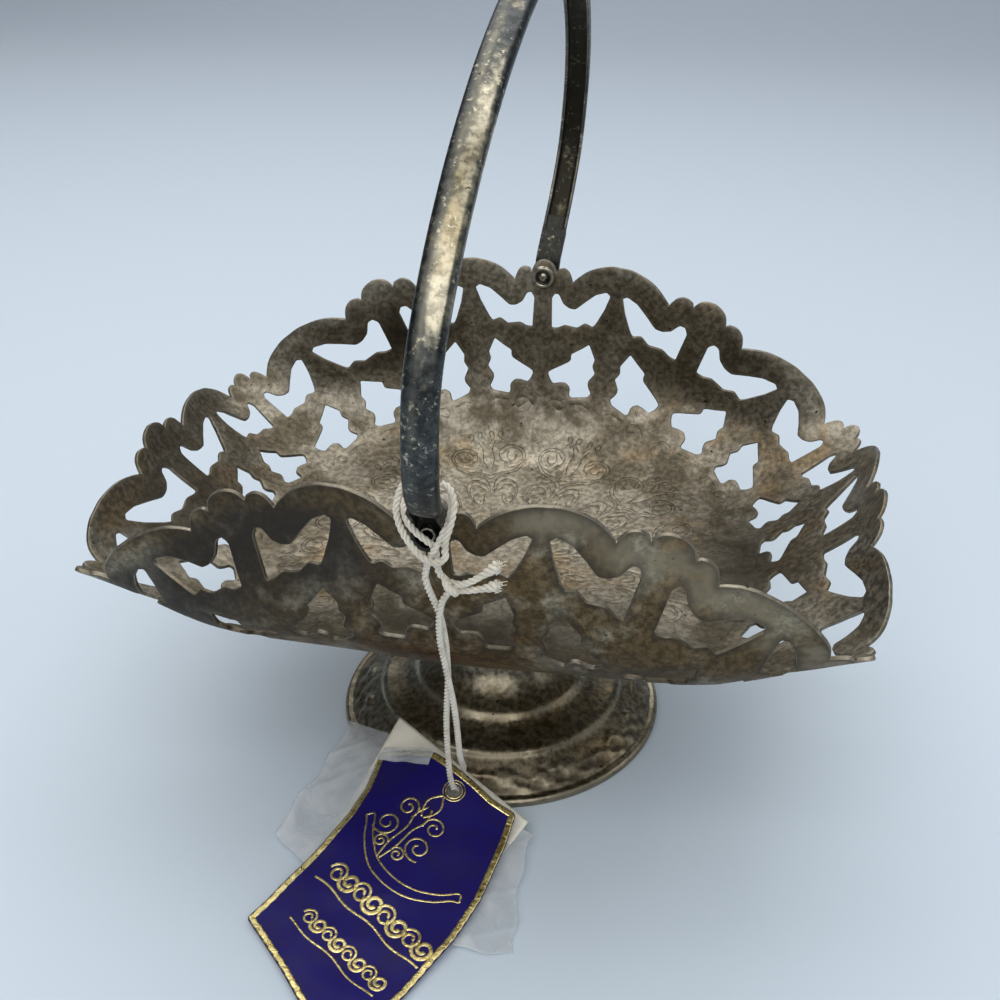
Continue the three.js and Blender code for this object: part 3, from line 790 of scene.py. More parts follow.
@dataclass(frozen=True)
class PaperFinish:
    """Card or print: a base colour with mottling, fibres and a coat."""

    name: str
    base: Colour
    shade: Colour
    roughness: float
    coat: float
    fibre: float
    gleam: float = 0.5

    def material(self) -> bpy.types.Material:
        """Builds the finish from noise at the scale of stains and of fibres.

        Returns:
            The material.
        """
        made, shader, paper = new_material(self.name, {
            "Coat Weight": self.coat, "Coat Roughness": 0.12, "Specular IOR Level": self.gleam,
        })
        place = shader.place()
        stain = shader.ranged(shader.noise(place, 130.0, 4.0, 0.6, 0.3), 0.4, 0.66)
        shader.feed(paper.inputs["Base Color"], shader.blend(stain, self.base, self.shade))
        fibres = shader.noise(place, 2600.0, 3.0, 0.6)
        shader.feed(paper.inputs["Roughness"], shader.maths("MULTIPLY_ADD", fibres, 0.2, self.roughness))
        shader.bump(paper, self.fibre, 0.0002, fibres)
        return made


@dataclass(frozen=True)
class FoilFinish:
    """Crinkled gold foil."""

    name: str = "gold_foil"
    base: Colour = (0.95, 0.8, 0.36)
    worn: Colour = (0.72, 0.57, 0.22)

    def material(self) -> bpy.types.Material:
        """Builds a crinkled metal.

        Returns:
            The material.
        """
        made, shader, foil = new_material(self.name, {"Metallic": 1.0})
        place = shader.place()
        crease = shader.noise(place, 420.0, 3.0, 0.55, 0.8)
        worn = shader.ranged(crease, 0.45, 0.7)
        shader.feed(foil.inputs["Base Color"], shader.blend(worn, self.base, self.worn))
        shader.feed(foil.inputs["Roughness"], shader.ranged(shader.noise(place, 900.0), 0.3, 0.7, 0.22, 0.42))
        shader.bump(foil, 0.5, 0.0006, crease)
        return made


@dataclass(frozen=True)
class FilmFinish:
    """Clear crumpled film, more seen where it is creased."""

    name: str = "clear_film"
    tint: Colour = (0.6, 0.65, 0.68)
    crease_tint: Colour = (0.92, 0.94, 0.95)

    def material(self) -> bpy.types.Material:
        """Builds a thin see-through sheet with bright creases.

        Returns:
            The material.
        """
        made, shader, film = new_material(self.name, {"Roughness": 0.22, "Specular IOR Level": 0.8})
        crease = shader.noise(shader.place(), 70.0, 3.0, 0.5, 0.6)
        shader.feed(film.inputs["Base Color"], shader.blend(crease, self.tint, self.crease_tint))
        shader.feed(film.inputs["Alpha"], shader.ranged(crease, 0.35, 0.75, 0.3, 0.48))
        shader.bump(film, 0.6, 0.001, crease)
        return made


@dataclass(frozen=True)
class CottonFinish:
    """Twisted cotton string: cream fibres, with painted shade between the plies."""

    name: str = "cotton_string"
    light: Colour = (0.82, 0.77, 0.66)
    shade: Colour = (0.5, 0.44, 0.34)

    def material(self) -> bpy.types.Material:
        """Builds the yarn from the ply mask and fine noise.

        Returns:
            The material.
        """
        made, shader, cotton = new_material(self.name, {
            "Roughness": 0.9, "Sheen Weight": 0.35, "Sheen Roughness": 0.5,
        })
        place = shader.place()
        fibres = shader.noise(place, 3200.0, 3.0, 0.7, 0.4)
        dirt = shader.ranged(shader.noise(place, 220.0, 3.0), 0.45, 0.7, 0.0, 0.5)
        base = shader.blend(dirt, self.light, self.shade)
        # Painted shade between the plies, from the ply mask.
        ply_shade = shader.maths("MULTIPLY", shader.mask("recess_and_shade"), 0.75)
        shader.feed(cotton.inputs["Base Color"], shader.blend(ply_shade, base, self.shade))
        shader.bump(cotton, 0.7, 0.0003, fibres)
        return made


# Studio


@dataclass(frozen=True)
class Lamp:
    """A square area lamp, in metres and watts, turned to its aim."""

    name: str
    place: tuple[float, float, float]
    aim: tuple[float, float, float]
    size: float
    power: float
    colour: Colour = (1.0, 1.0, 1.0)

    def build(self) -> None:
        """Adds the lamp to the scene."""
        data = bpy.data.lights.new(self.name, "AREA")
        data.shape = "SQUARE"
        data.size = self.size
        data.energy = self.power
        data.color = self.colour
        made = linked(self.name, data)
        made.location = self.place
        made.rotation_euler = (Vector(self.aim) - Vector(self.place)).to_track_quat("-Z", "Y").to_euler()


@dataclass(frozen=True)
class Studio:
    """Camera, floor, backdrop and lights."""

    camera_place: tuple[float, float, float] = (66.36, -329.53, 280.20)
    azimuth: float = 11.38
    elevation: float = 31.366
    roll: float = -0.0073
    lens: float = 47.93
    sensor: float = 36.0
    floor_colour: Colour = (0.6, 0.685, 0.765)
    far_shade_colour: Colour = (0.31, 0.355, 0.42)
    bend_start: float = 900.0
    bend_radius: float = 500.0
    backdrop_top: float = 3000.0
    floor_front: float = -2500.0
    floor_half: float = 3000.0
    room_low: Colour = (0.24, 0.25, 0.26)
    room_high: Colour = (0.84, 0.87, 0.9)
    room_strength: float = 1.45
    lamps: tuple[Lamp, ...] = (
        Lamp("overhead", (-0.15, 0.65, 1.15), (0.0, 0.0, 0.05), 1.4, 12.0, (1.0, 0.985, 0.96)),
        Lamp("window", (1.3, 0.1, 0.9), (0.0, 0.0, 0.1), 1.3, 1.2, (0.95, 0.98, 1.0)),
        Lamp("front", (0.0, -1.1, 1.15), (0.0, -0.05, 0.0), 1.6, 16.0),
    )

    def camera(self) -> None:
        """Sets the camera at the photograph's viewing angle, against back and with up turned by the roll."""
        azimuth, elevation = math.radians(self.azimuth), math.radians(self.elevation)
        back = Vector((
            math.sin(azimuth) * math.cos(elevation), -math.cos(azimuth) * math.cos(elevation),
            math.sin(elevation),
        ))
        right = Vector((math.cos(azimuth), math.sin(azimuth), 0.0))
        up = back.cross(right)
        cosine, sine = math.cos(self.roll), math.sin(self.roll)
        right, up = cosine * right + sine * up, cosine * up - sine * right
        data = bpy.data.cameras.new("camera")
        data.lens = self.lens
        data.sensor_width = self.sensor
        data.clip_start = 0.01
        made = linked("camera", data)
        turn = Matrix((right, up, back)).transposed().to_4x4()
        made.matrix_world = Matrix.Translation(Vector(self.camera_place) * MILLIMETRE) @ turn
        bpy.context.scene.camera = made

    def stage(self) -> None:
        """Makes the floor, which bends up into a backdrop far behind the object, its colour darkening towards
        the back as painted shade.
        """
        bend = np.linspace(0.1, 1.5, 12)
        flat = np.linspace(self.floor_front, self.bend_start, 24)
        run = np.concatenate([flat, self.bend_start + self.bend_radius * np.sin(bend)])
        rise = np.concatenate([np.zeros(24), self.bend_radius * (1 - np.cos(bend))])
        run = np.append(run, self.bend_start + self.bend_radius)
        rise = np.append(rise, self.backdrop_top)
        across = np.linspace(-self.floor_half, self.floor_half, 9)
        x, row = np.meshgrid(across, np.arange(len(run)))
        points = np.stack([x.ravel(), run[row.ravel()], rise[row.ravel()]], axis=1)
        made, shader, floor = new_material("floor", {"Roughness": 0.7, "Specular IOR Level": 0.2})
        # Painted shade: the floor's colour darkens towards the back and up the backdrop.
        depth = shader.node("ShaderNodeSeparateXYZ", {0: shader.place()}).outputs["Y"]
        far = shader.ranged(depth, 0.15, 1.3)
        shader.feed(floor.inputs["Base Color"], shader.blend(far, self.floor_colour, self.far_shade_colour))
        Surface(points, grid_quads(len(run), len(across))[:, ::-1]).piece("floor", made)

    def light(self) -> None:
        """Lights the object softly from above and behind, with a dimmer room round it."""
        world = bpy.data.worlds.new("room")
        bpy.context.scene.world = world
        world.use_nodes = True
        shader = Shader(world.node_tree)
        background = world.node_tree.nodes["Background"]
        direction = shader.node("ShaderNodeTexCoord").outputs["Generated"]
        parts = shader.node("ShaderNodeSeparateXYZ", {0: direction}).outputs
        rise = shader.ranged(parts["Z"], -0.1, 0.75)
        front = shader.ranged(parts["Y"], -0.9, 0.9)
        side = shader.ranged(parts["X"], -0.9, 0.3)
        room = shader.blend(rise, self.room_low, self.room_high)
        dim = shader.maths("MULTIPLY_ADD", shader.maths("MULTIPLY", front, side), 0.9, 0.1)
        background.inputs["Strength"].default_value = self.room_strength
        lit = shader.node("ShaderNodeVectorMath", {0: room, 3: dim}, operation="SCALE").outputs[0]
        shader.feed(background.inputs["Color"], lit)
        for lamp in self.lamps:
            lamp.build()


# Dish


@dataclass
class BowlForm:
    """The raised bowl: each ring of the flat sheet is a closed loop, each radius a clamped cubic spline."""

    floor_edge: float = 48.5
    knee_ring: float = 72.8
    slope_ring: float = 97.0
    bead_circle: float = 121.3
    rim_allowance: float = 14.7
    floor_edge_rise: float = 2.7
    floor_spread: float = 48.3
    floor_height: float = 53.5
    pivot: tuple = ((0, 67.3, 16.3), (0, 72.5, 40.1), (0, 76.3, 62.5), (0, 78.7, 76.6))
    shoulder: tuple = ((36.7, 61.1, 9.8), (46.4, 72.9, 29.7), (54.5, 68.3, 54.4), (60.5, 71.4, 67.5))
    corner: tuple = ((63.6, 36.5, 3.2), (82.4, 49.1, 9.9), (101.2, 58.2, 21.7), (110.5, 64.5, 29.9))
    wing: tuple = ((72, 0, 3.4), (89.9, 0, 14), (106.6, 0, 31), (112, 0, 45.5))

    def __post_init__(self) -> None:
        """Fits the waves of each ring and the splines that join them."""
        self.rings = np.array([
            self.floor_edge, self.knee_ring, self.slope_ring, self.bead_circle,
            self.bead_circle + self.rim_allowance,
        ])
        floor = np.array([self.floor_spread, 0, 0, self.floor_spread, 0, 0, self.floor_edge_rise, 0, 0, 0])
        rows = [self.waves(*sections) for sections in zip(
            self.pivot, self.shoulder, self.corner, self.wing, strict=True)]
        self.values = np.vstack([floor, rows])
        slopes = floor / self.floor_edge
        slopes[6] *= 2
        self.bends = self.curvatures(slopes)

    @staticmethod
    def waves(pivot: tuple, shoulder: tuple, corner: tuple, wing: tuple) -> np.ndarray:
        """Fits one ring through its places at bearings of 0, 30, 60 and 90 degrees.

        Args:
            pivot: Its place at 0 degrees.
            shoulder: Its place at 30 degrees.
            corner: Its place at 60 degrees.
            wing: Its place at 90 degrees.

        Returns:
            Its waves: x from sines of 1, 3 and 5 times the bearing, y from cosines of the same, and the rise
            from cosines of 0, 2, 4 and 6 times it.
        """
        half_root = math.sqrt(3) / 2
        x_even, x_odd = corner[0] / half_root, (shoulder[0] + wing[0]) / 1.5
        y_even, y_odd = shoulder[1] / half_root, (pivot[1] + corner[1]) / 1.5
        a, b, c, d = pivot[2], shoulder[2], corner[2], wing[2]
        return np.array([
            (x_even + x_odd) / 2, x_odd - wing[0], (x_odd - x_even) / 2,
            (y_even + y_odd) / 2, pivot[1] - y_odd, (y_odd - y_even) / 2,
            (a + 2 * b + 2 * c + d) / 6, (a + b - c - d) / 3,
            (a - b - c + d) / 3, (a - 2 * b + 2 * c - d) / 6,
        ])

    def curvatures(self, slopes: np.ndarray) -> np.ndarray:
        """Solves for the spline through the rings that is clamped inside and free outside.

        Args:
            slopes: The waves' slopes at the innermost ring.

        Returns:
            The waves' second derivatives at every ring.
        """
        steps = np.diff(self.rings)
        rates = np.diff(self.values, axis=0) / steps[:, None]
        count = len(self.rings)
        matrix = np.zeros((count, count))
        right = np.zeros((count, self.values.shape[1]))
        matrix[0, :2] = [2 * steps[0], steps[0]]
        right[0] = 6 * (rates[0] - slopes)
        for i in range(1, count - 1):
            matrix[i, i - 1 : i + 2] = [steps[i - 1], 2 * (steps[i - 1] + steps[i]), steps[i]]
            right[i] = 6 * (rates[i] - rates[i - 1])
        matrix[-1, -1] = 1.0
        return np.linalg.solve(matrix, right)

    def middle(self, flat: np.ndarray) -> np.ndarray:
        """Raises flat points to the middle of the formed sheet.

        Args:
            flat: The points on the flat sheet.

        Returns:
            Their places: a shallow round dish inside the innermost ring, and outside it the sum of
            the waves at the point's bearing, each wave a cubic spline of the radius.
        """
        radius = np.hypot(*flat.T)
        bearing = np.arctan2(flat[:, 0], flat[:, 1])
        i = np.clip(np.searchsorted(self.rings, radius, side="left") - 1, 0, len(self.rings) - 2)
        step = (self.rings[i + 1] - self.rings[i])[:, None]
        a = (self.rings[i + 1] - radius)[:, None] / step
        b = 1.0 - a
        waves = a * self.values[i] + b * self.values[i + 1]
        waves = waves + ((a**3 - a) * self.bends[i] + (b**3 - b) * self.bends[i + 1]) * step**2 / 6
        turns = [np.sin(k * bearing) for k in (1, 3, 5)] + [np.cos(k * bearing) for k in (1, 3, 5)]
        x = sum(waves[:, k] * turns[k] for k in range(3))
        y = sum(waves[:, k] * turns[k] for k in range(3, 6))
        z = sum(waves[:, 6 + k] * np.cos(2 * k * bearing) for k in range(4))
        bowl = np.stack([x, y, z], axis=1)
        spread = self.floor_spread / self.floor_edge
        rise = self.floor_edge_rise * (radius / self.floor_edge) ** 2
        floor = np.stack([flat[:, 0] * spread, flat[:, 1] * spread, rise], axis=1)
        return np.where((radius <= self.floor_edge)[:, None], floor, bowl) + [0.0, 0.0, self.floor_height]

    def normal(self, flat: np.ndarray) -> np.ndarray:
        """Finds the direction out of the sheet's upper face.

        Args:
            flat: The points on the flat sheet.

        Returns:
            The cross product of the form's two slopes, at a length of 1.
        """
        reach = 0.05
        along_x = self.middle(flat + [reach, 0]) - self.middle(flat - [reach, 0])
        along_y = self.middle(flat + [0, reach]) - self.middle(flat - [0, reach])
        return unit(np.cross(along_x, along_y))


@dataclass(frozen=True)
class Patch:
    """A soft oval of tarnish or wear on the flat sheet, turned clockwise by some degrees."""

    centre: tuple[float, float]
    along: float
    across: float
    turn: float = 0.0

    def on(self, flat: np.ndarray) -> np.ndarray:
        """Its strength at flat points: exp(-(u / along)^2 - (v / across)^2), 1 at its centre."""
        local = turned(flat - np.array(self.centre), self.turn)
        return np.exp(-((local[:, 0] / self.along) ** 2) - (local[:, 1] / self.across) ** 2)


# Soft patches of painted shade on the inside: right slope, left wing, far left and near side.
RIGHT_SLOPE_SHADE = Patch((74.0, 2.0), 28.0, 52.0)
LEFT_WING_SHADE = Patch((-106.0, -8.0), 26.0, 50.0)
FAR_LEFT_SHADE = Patch((-52.0, 94.0), 26.0, 14.0, 25.0)
NEAR_SIDE_SHADE = Patch((8.0, -50.0), 105.0, 46.0)
BLUE_BLACK = (
    Patch((-70.0, -88.0), 26.0, 34.0, 20.0), Patch((-34.0, -104.0), 22.0, 14.0),
    Patch((-92.0, -50.0), 22.0, 30.0),
)
# A painted shadow on the outside, to the right of the near pivot.
PIVOT_SHADOW = Patch((15.0, -116.5), 13.0, 4.0, -12.0)
FLAP_BROWN = Patch((58.0, -86.0), 26.0, 15.0, 25.0)
PALE_LOBE = Patch((34.0, -117.0), 16.0, 6.0, 12.0)

UPPER_OPENING = np.array([
    [3.6, 102.3], [3.5, 113.3], [5.0, 115.2], [7.0, 114.8], [8.8, 111.4], [11.2, 109.8], [13.6, 109.4],
    [17.6, 111.8], [22.2, 114.2], [26.6, 114.8], [28.2, 113.2], [25.4, 108.6], [21.4, 103.6], [19.8, 102.2],
    [17.0, 103.8], [13.8, 102.2], [9.0, 103.3], [6.1, 102.2],
])
LOWER_OPENING = np.array([
    [18.2, 96.9], [19.0, 94.4], [20.0, 91.3], [18.9, 89.2], [19.8, 86.6], [17.1, 84.0], [17.2, 82.4],
    [18.2, 80.2], [16.8, 78.8], [13.6, 78.6], [10.8, 78.4], [10.1, 79.2], [10.4, 81.8], [9.0, 83.3],
    [7.0, 83.3], [4.4, 82.8], [3.0, 84.8], [2.4, 86.9], [3.8, 87.9], [10.8, 91.2], [11.0, 93.5], [14.2, 94.9],
])
MIDDLE_BEAD = np.array([[0.0, 126.5], [2.2, 126.0], [4.0, 124.8], [5.0, 123.0], [5.4, 122.0]])
SMALL_BEAD = np.array([[6.5, 123.2], [8.8, 123.5], [10.8, 122.3], [11.9, 120.2], [12.5, 118.4]])
LOBE = np.array([[12.5, 118.4], [15.2, 120.1], [18.8, 121.8], [23.0, 122.7], [27.6, 122.7]])


@dataclass
class PiercedDish:
    """The plated dish: twelve equal pierced repeats, each of two mirrored halves between post and lobe."""

    form: BowlForm = field(default_factory=BowlForm)
    repeats: int = 12
    half_angle: float = 15.0
    thickness: float = 1.2
    edge_steps: tuple = ((0.13, 0.04), (0.22, 0.12), (0.25, 0.25))
    lobe_top: float = 126.2
    spacing: float = 1.35
    outer_spacing: float = 2.2
    edge_spacing: float = 0.85
    groove_half: float = 0.24
    groove_depth: float = 0.08
    groove_clearance: float = 0.3
    pivot_hole: float = 2.15
    rubbed_reach: float = 0.6
    # The floor band bounds the painted light on the floor, the slope band the painted shade up the slope.
    painted_light_floor_band: tuple[float, float] = (46.0, 60.0)
    neck_band: tuple[float, float] = (74.0, 84.0)
    painted_shade_slope_band: tuple[float, float] = (78.0, 92.0)
    rim_band: tuple[float, float] = (108.0, 117.0)
    bare_band: tuple[float, float] = (117.0, 123.0)
    fan_radius: float = 97.0

    def edge(self) -> np.ndarray:
        """Draws half a repeat's outer edge.

        Returns:
            A smooth line over the middle bead and the small bead, and up to the top of the lobe.
        """
        top = turned(np.array([[0.0, self.lobe_top]]), self.half_angle)
        before = turned(np.array([[-4.0, self.lobe_top - 0.15]]), self.half_angle)
        bead = flowing(MIDDLE_BEAD, 0.8)
        small = flowing(SMALL_BEAD, 0.8)
        lobe = flowing(np.vstack([LOBE[:-1], before, top]), 0.9)
        return np.vstack([bead, small, lobe[1:]])

    def outline(self, edge: np.ndarray) -> np.ndarray:
        """Draws the wedge from the middle of the dish out to its edge.

        Args:
            edge: Half a repeat's outer edge.

        Returns:
            The middle, the post's line outwards, the edge, and the lobe's line back.
        """
        reach = np.arange(1.2, edge[0, 1] - 0.6, 1.2)
        post = np.stack([np.zeros_like(reach), reach], axis=1)
        reach = np.arange(1.2, self.lobe_top - 0.6, 1.2)[::-1]
        lobe = turned(np.stack([np.zeros_like(reach), reach], axis=1), self.half_angle)
        return np.vstack([[[0.0, 0.0]], post, edge, lobe])

    def hole(self) -> np.ndarray:
        """Draws the pivot's hole on the flat sheet, which the raising draws in.

        Returns:
            An ellipse that the form turns into a circle.
        """
        reach = np.array([[1.0, 0.0], [-1.0, 0.0], [0.0, 1.0], [0.0, -1.0]]) + [0.0, self.form.bead_circle]
        east, west, out, back = self.form.middle(reach)
        across = np.linalg.norm(east - west) / 2
        along = np.linalg.norm(out - back) / 2
        reach = self.pivot_hole / np.array([across, along])
        return [0.0, self.form.bead_circle] + reach * bearings(24)

    def openings(self) -> list[np.ndarray]:
        """The two pierced openings of half a repeat, their corners softened."""
        return [softened(outline, 0.5, self.edge_spacing) for outline in (UPPER_OPENING, LOWER_OPENING)]

    def strokes(self) -> list[np.ndarray]:
        """Lays out the engraved lines of half a repeat, between the post and the lobe.

        Returns:
            The stretches that keep clear of the wedge's sides, the openings and the rims.
        """
        lines = []
        for line in Engraving().lines():
            drawn = turned(line * [-1, 1], self.half_angle)
            lines.append(flowing(drawn, 0.85) if len(drawn) > 2 else spaced(drawn, 0.85))
        lines += [flowing(line, 0.85) for line in Engraving().post_lines()]
        openings = self.openings()
        rims = np.vstack([spaced(line, 0.3) for line in (self.edge(), *openings)])
        kept = []
        for line in lines:
            good = (line[:, 0] > 0.45) & (turned(line, -self.half_angle)[:, 0] < -0.45)
            good &= nearest_distance(line, rims) > self.groove_half + self.groove_clearance
            for opening in openings:
                good &= ~inside(line, opening)
            runs = np.split(np.arange(len(line)), np.flatnonzero(np.diff(good.astype(int))) + 1)
            kept += [line[run] for run in runs if good[run[0]] and len(run) > 2]
        return kept

    def tripled(self, lines: list[np.ndarray]) -> list[np.ndarray]:
        """Adds the two sides of each engraved groove to its middle.

        Args:
            lines: The grooves' middles.

        Returns:
            Each line, and the lines half a groove's width to its right and left.
        """
        every = []
        for line in lines:
            side = right_of(unit(np.gradient(line, axis=0))) * self.groove_half
            every += [line, line + side, line - side]
        return every

    def half_repeat(self, pivot: bool, engraved: bool) -> CutSheet:
        """Cuts one flat wedge.

        Args:
            pivot: Whether it has the pivot's hole.
            engraved: Whether its triangles are fine and follow the engraving.

        Returns:
            The wedge.
        """
        openings = self.openings() + ([self.hole()] if pivot else [])
        strokes = self.tripled(self.strokes()) if engraved else []
        spacing = self.spacing if engraved else self.outer_spacing
        return CutSheet.cut(self.outline(self.edge()), openings, strokes, spacing)

    def whole(self, engraved: bool) -> tuple:
        """Joins the 24 wedges into the flat sheet.

        Args:
            engraved: Whether its triangles follow the engraving.

        Returns:
            Its points, its triangles, and its masks: recess in the grooves, edge near what is pierced.
        """
        marks = np.vstack([spaced(line, 0.2) for line in self.strokes()])
        rim = np.vstack([spaced(line, 0.3) for line in (self.edge(), *self.openings())])
        wedges = {}
        for pivot in (True, False):
            wedge = self.half_repeat(pivot, engraved)
            groove = np.zeros(len(wedge.points))
            if engraved:
                groove = 1 - smooth_step(0.0, self.groove_half, nearest_distance(wedge.points, marks))
            worn = np.exp(-((nearest_distance(wedge.points, rim) / self.rubbed_reach) ** 2))
            dark = 0.95 - 0.5 * smooth_step(*self.neck_band, np.hypot(*wedge.points.T))
            wedges[pivot] = (wedge, {"recess_and_shade": groove * dark, "edge": worn * 0.5})
        copies = []
        for repeat in range(self.repeats):
            wedge, masks = wedges[repeat in (0, self.repeats // 2)]
            for side in (1, -1):
                triangles = wedge.triangles if side > 0 else wedge.triangles[:, ::-1]
                points = turned(wedge.points * [side, 1], repeat * 2 * self.half_angle)
                copies.append((points, triangles, masks))
        return merged_copies(copies)

    def upper(self) -> tuple[CutSheet, Surface]:
        """Forms the engraved face.

        Returns:
            The flat sheet, and the formed face half a thickness over its middle, less the grooves.
        """
        points, triangles, masks = self.whole(engraved=True)
        lift = self.thickness / 2 - masks["recess_and_shade"] * self.groove_depth
        masks["stain"], shade = self.tarnish_and_painted_light(points)
        # The inside's painted shade darkens the face through the same mask as the grooves.
        masks["recess_and_shade"] = np.maximum(masks["recess_and_shade"], shade)
        formed = self.form.middle(points) + self.form.normal(points) * lift[:, None]
        return CutSheet(points, triangles), Surface(formed, triangles=triangles, masks=masks)

    def lower(self) -> tuple[CutSheet, Surface]:
        """Forms the plain face, with the outside's marks, painted shade round its openings and a painted
        shadow by the near pivot.

        Returns:
            The flat sheet, and the formed face half a thickness under its middle.
        """
        points, triangles, masks = self.whole(engraved=False)
        left, shadow_and_brown, pale = self.outside_marks_and_shadow(points)
        # Painted shade round the openings' edges on the outside, with the blue-black patches.
        masks["recess_and_shade"] = np.maximum(0.75 * left, masks["edge"])
        # The painted shadow by the near pivot, with the flap's faint brown stain.
        masks["stain"] = 1.5 * shadow_and_brown
        masks["edge"] = 0.9 * pale
        masks["outside"] = np.ones(len(points))
        formed = self.form.middle(points) - self.form.normal(points) * (self.thickness / 2)
        return CutSheet(points, triangles), Surface(formed, triangles=triangles[:, ::-1], masks=masks)

    def surface(self) -> Surface:
        """Closes the formed sheet with a wall round every cut edge.

        Returns:
            Its engraved face, its plain face, and between them rows of points that bulge out of
            the edge as the edge steps say. The wall ends on the nearest points of the plain face.
        """
        flat, upper = self.upper()
        plain, lower = self.lower()
        sheet = upper.joined(lower)
        rim, out = flat.rim()
        ring, plain_ring = np.unique(rim), np.unique(plain.rim()[0])
        places = flat.points[ring]
        gaps = places[:, None, :] - plain.points[plain_ring][None, :, :]
        below = plain_ring[(gaps**2).sum(axis=2).argmin(axis=1)] + len(flat.points)
        levels = [(reach, self.thickness / 2 - drop) for reach, drop in self.edge_steps]
        levels += [(reach, -level) for reach, level in reversed(levels)]
        normal = self.form.normal(places)
        rows = [self.form.middle(places + out[ring] * reach) + normal * level for reach, level in levels]
        count = len(ring)
        first = len(sheet.points) + count * np.arange(len(levels))
        table = [ring, *(start + np.arange(count) for start in first), below]
        spot = np.full(len(flat.points), -1)
        spot[ring] = np.arange(count)
        start, end = spot[rim].T
        # The cut walls carry painted shade, less of it towards the rim, and a little wear.
        outline = np.tile(smooth_step(*self.rim_band, np.hypot(*places.T)), len(levels))
        wall = Surface(np.vstack(rows), masks={"recess_and_shade": 0.5 - 0.2 * outline, "edge": 0.3 + 0.3 * outline})
        sheet = sheet.joined(wall)
        sheet.quads = np.vstack([
            np.stack([above[start], under[start], under[end], above[end]], axis=1)
            for above, under in zip(table[:-1], table[1:], strict=True)
        ])
        return sheet

    def tarnish_and_painted_light(self, flat: np.ndarray) -> tuple[np.ndarray, np.ndarray]:
        """Works out the inside's tarnish and its painted light and shade.

        Args:
            flat: Points on the flat sheet.

        Returns:
            The stain mask: most on the fans at the posts, and below zero on the floor as painted light
            that brightens it, less so on the near side. And the painted shade of its dark slopes, the
            greatest of the ring at the knee with the band up the slope, and four soft patches.
        """
        bearing = np.degrees(np.arctan2(flat[:, 0], flat[:, 1]))
        radius = np.hypot(*flat.T)
        from_post = np.abs((bearing + self.half_angle) % (2 * self.half_angle) - self.half_angle)
        fans = np.exp(-((from_post / 7.0) ** 2)) * np.exp(-(((radius - self.fan_radius) / 9.0) ** 2))
        # Painted light: the floor's share lowers the tarnish there, so that the floor looks brighter.
        floor = 1 - smooth_step(*self.painted_light_floor_band, radius)
        # Painted shade: the ring at the knee, the band up the slope and the soft patches darken the inside's
        # slopes, wing and near side.
        knee = np.exp(-(((radius - 72.0) / 12.0) ** 2))
        slope = 0.3 * knee + 0.3 * smooth_step(*self.painted_shade_slope_band, radius)
        left = LEFT_WING_SHADE.on(flat) + FAR_LEFT_SHADE.on(flat)
        near = NEAR_SIDE_SHADE.on(flat)
        shade = np.max([slope, 0.9 * RIGHT_SLOPE_SHADE.on(flat), 0.82 * left, 0.9 * near], axis=0)
        return 0.3 * fans - 0.65 * floor * np.maximum(1 - 1.3 * near, 0.0), shade

    def outside_marks_and_shadow(self, flat: np.ndarray) -> tuple[np.ndarray, np.ndarray, np.ndarray]:
        """Works out the outside's marks and its painted shadow.

        Args:
            flat: Points on the flat sheet.

        Returns:
            Blue-black on the left, a painted shadow by the near pivot with a faint brown stain on the flap,
            and pale to its right: soft patches of up to about 1, with less of the blue-black and the brown on
                the rim.
        """
        left = sum(patch.on(flat) for patch in BLUE_BLACK)
        # Painted shadow by the near pivot, with a faint brown stain on the flap.
        shadow_and_brown = PIVOT_SHADOW.on(flat) + 0.28 * FLAP_BROWN.on(flat)
        radius = np.hypot(*flat.T)
        band = smooth_step(108.0, 116.0, radius) * smooth_step(34.0, 52.0, flat[:, 0]) * (flat[:, 1] < 0)
        pale = np.maximum(PALE_LOBE.on(flat), 0.7 * band)
        bare_rim = 0.6 * smooth_step(*self.bare_band, radius)
        return np.minimum(left, 1.0) * (1 - bare_rim), shadow_and_brown * (1 - 0.8 * band), pale

    def build(self, metal: bpy.types.Material) -> None:
        """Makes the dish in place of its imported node."""
        place(self.surface().piece("plated_dish", metal), Body.BASKET, "dish_plate", "dish")


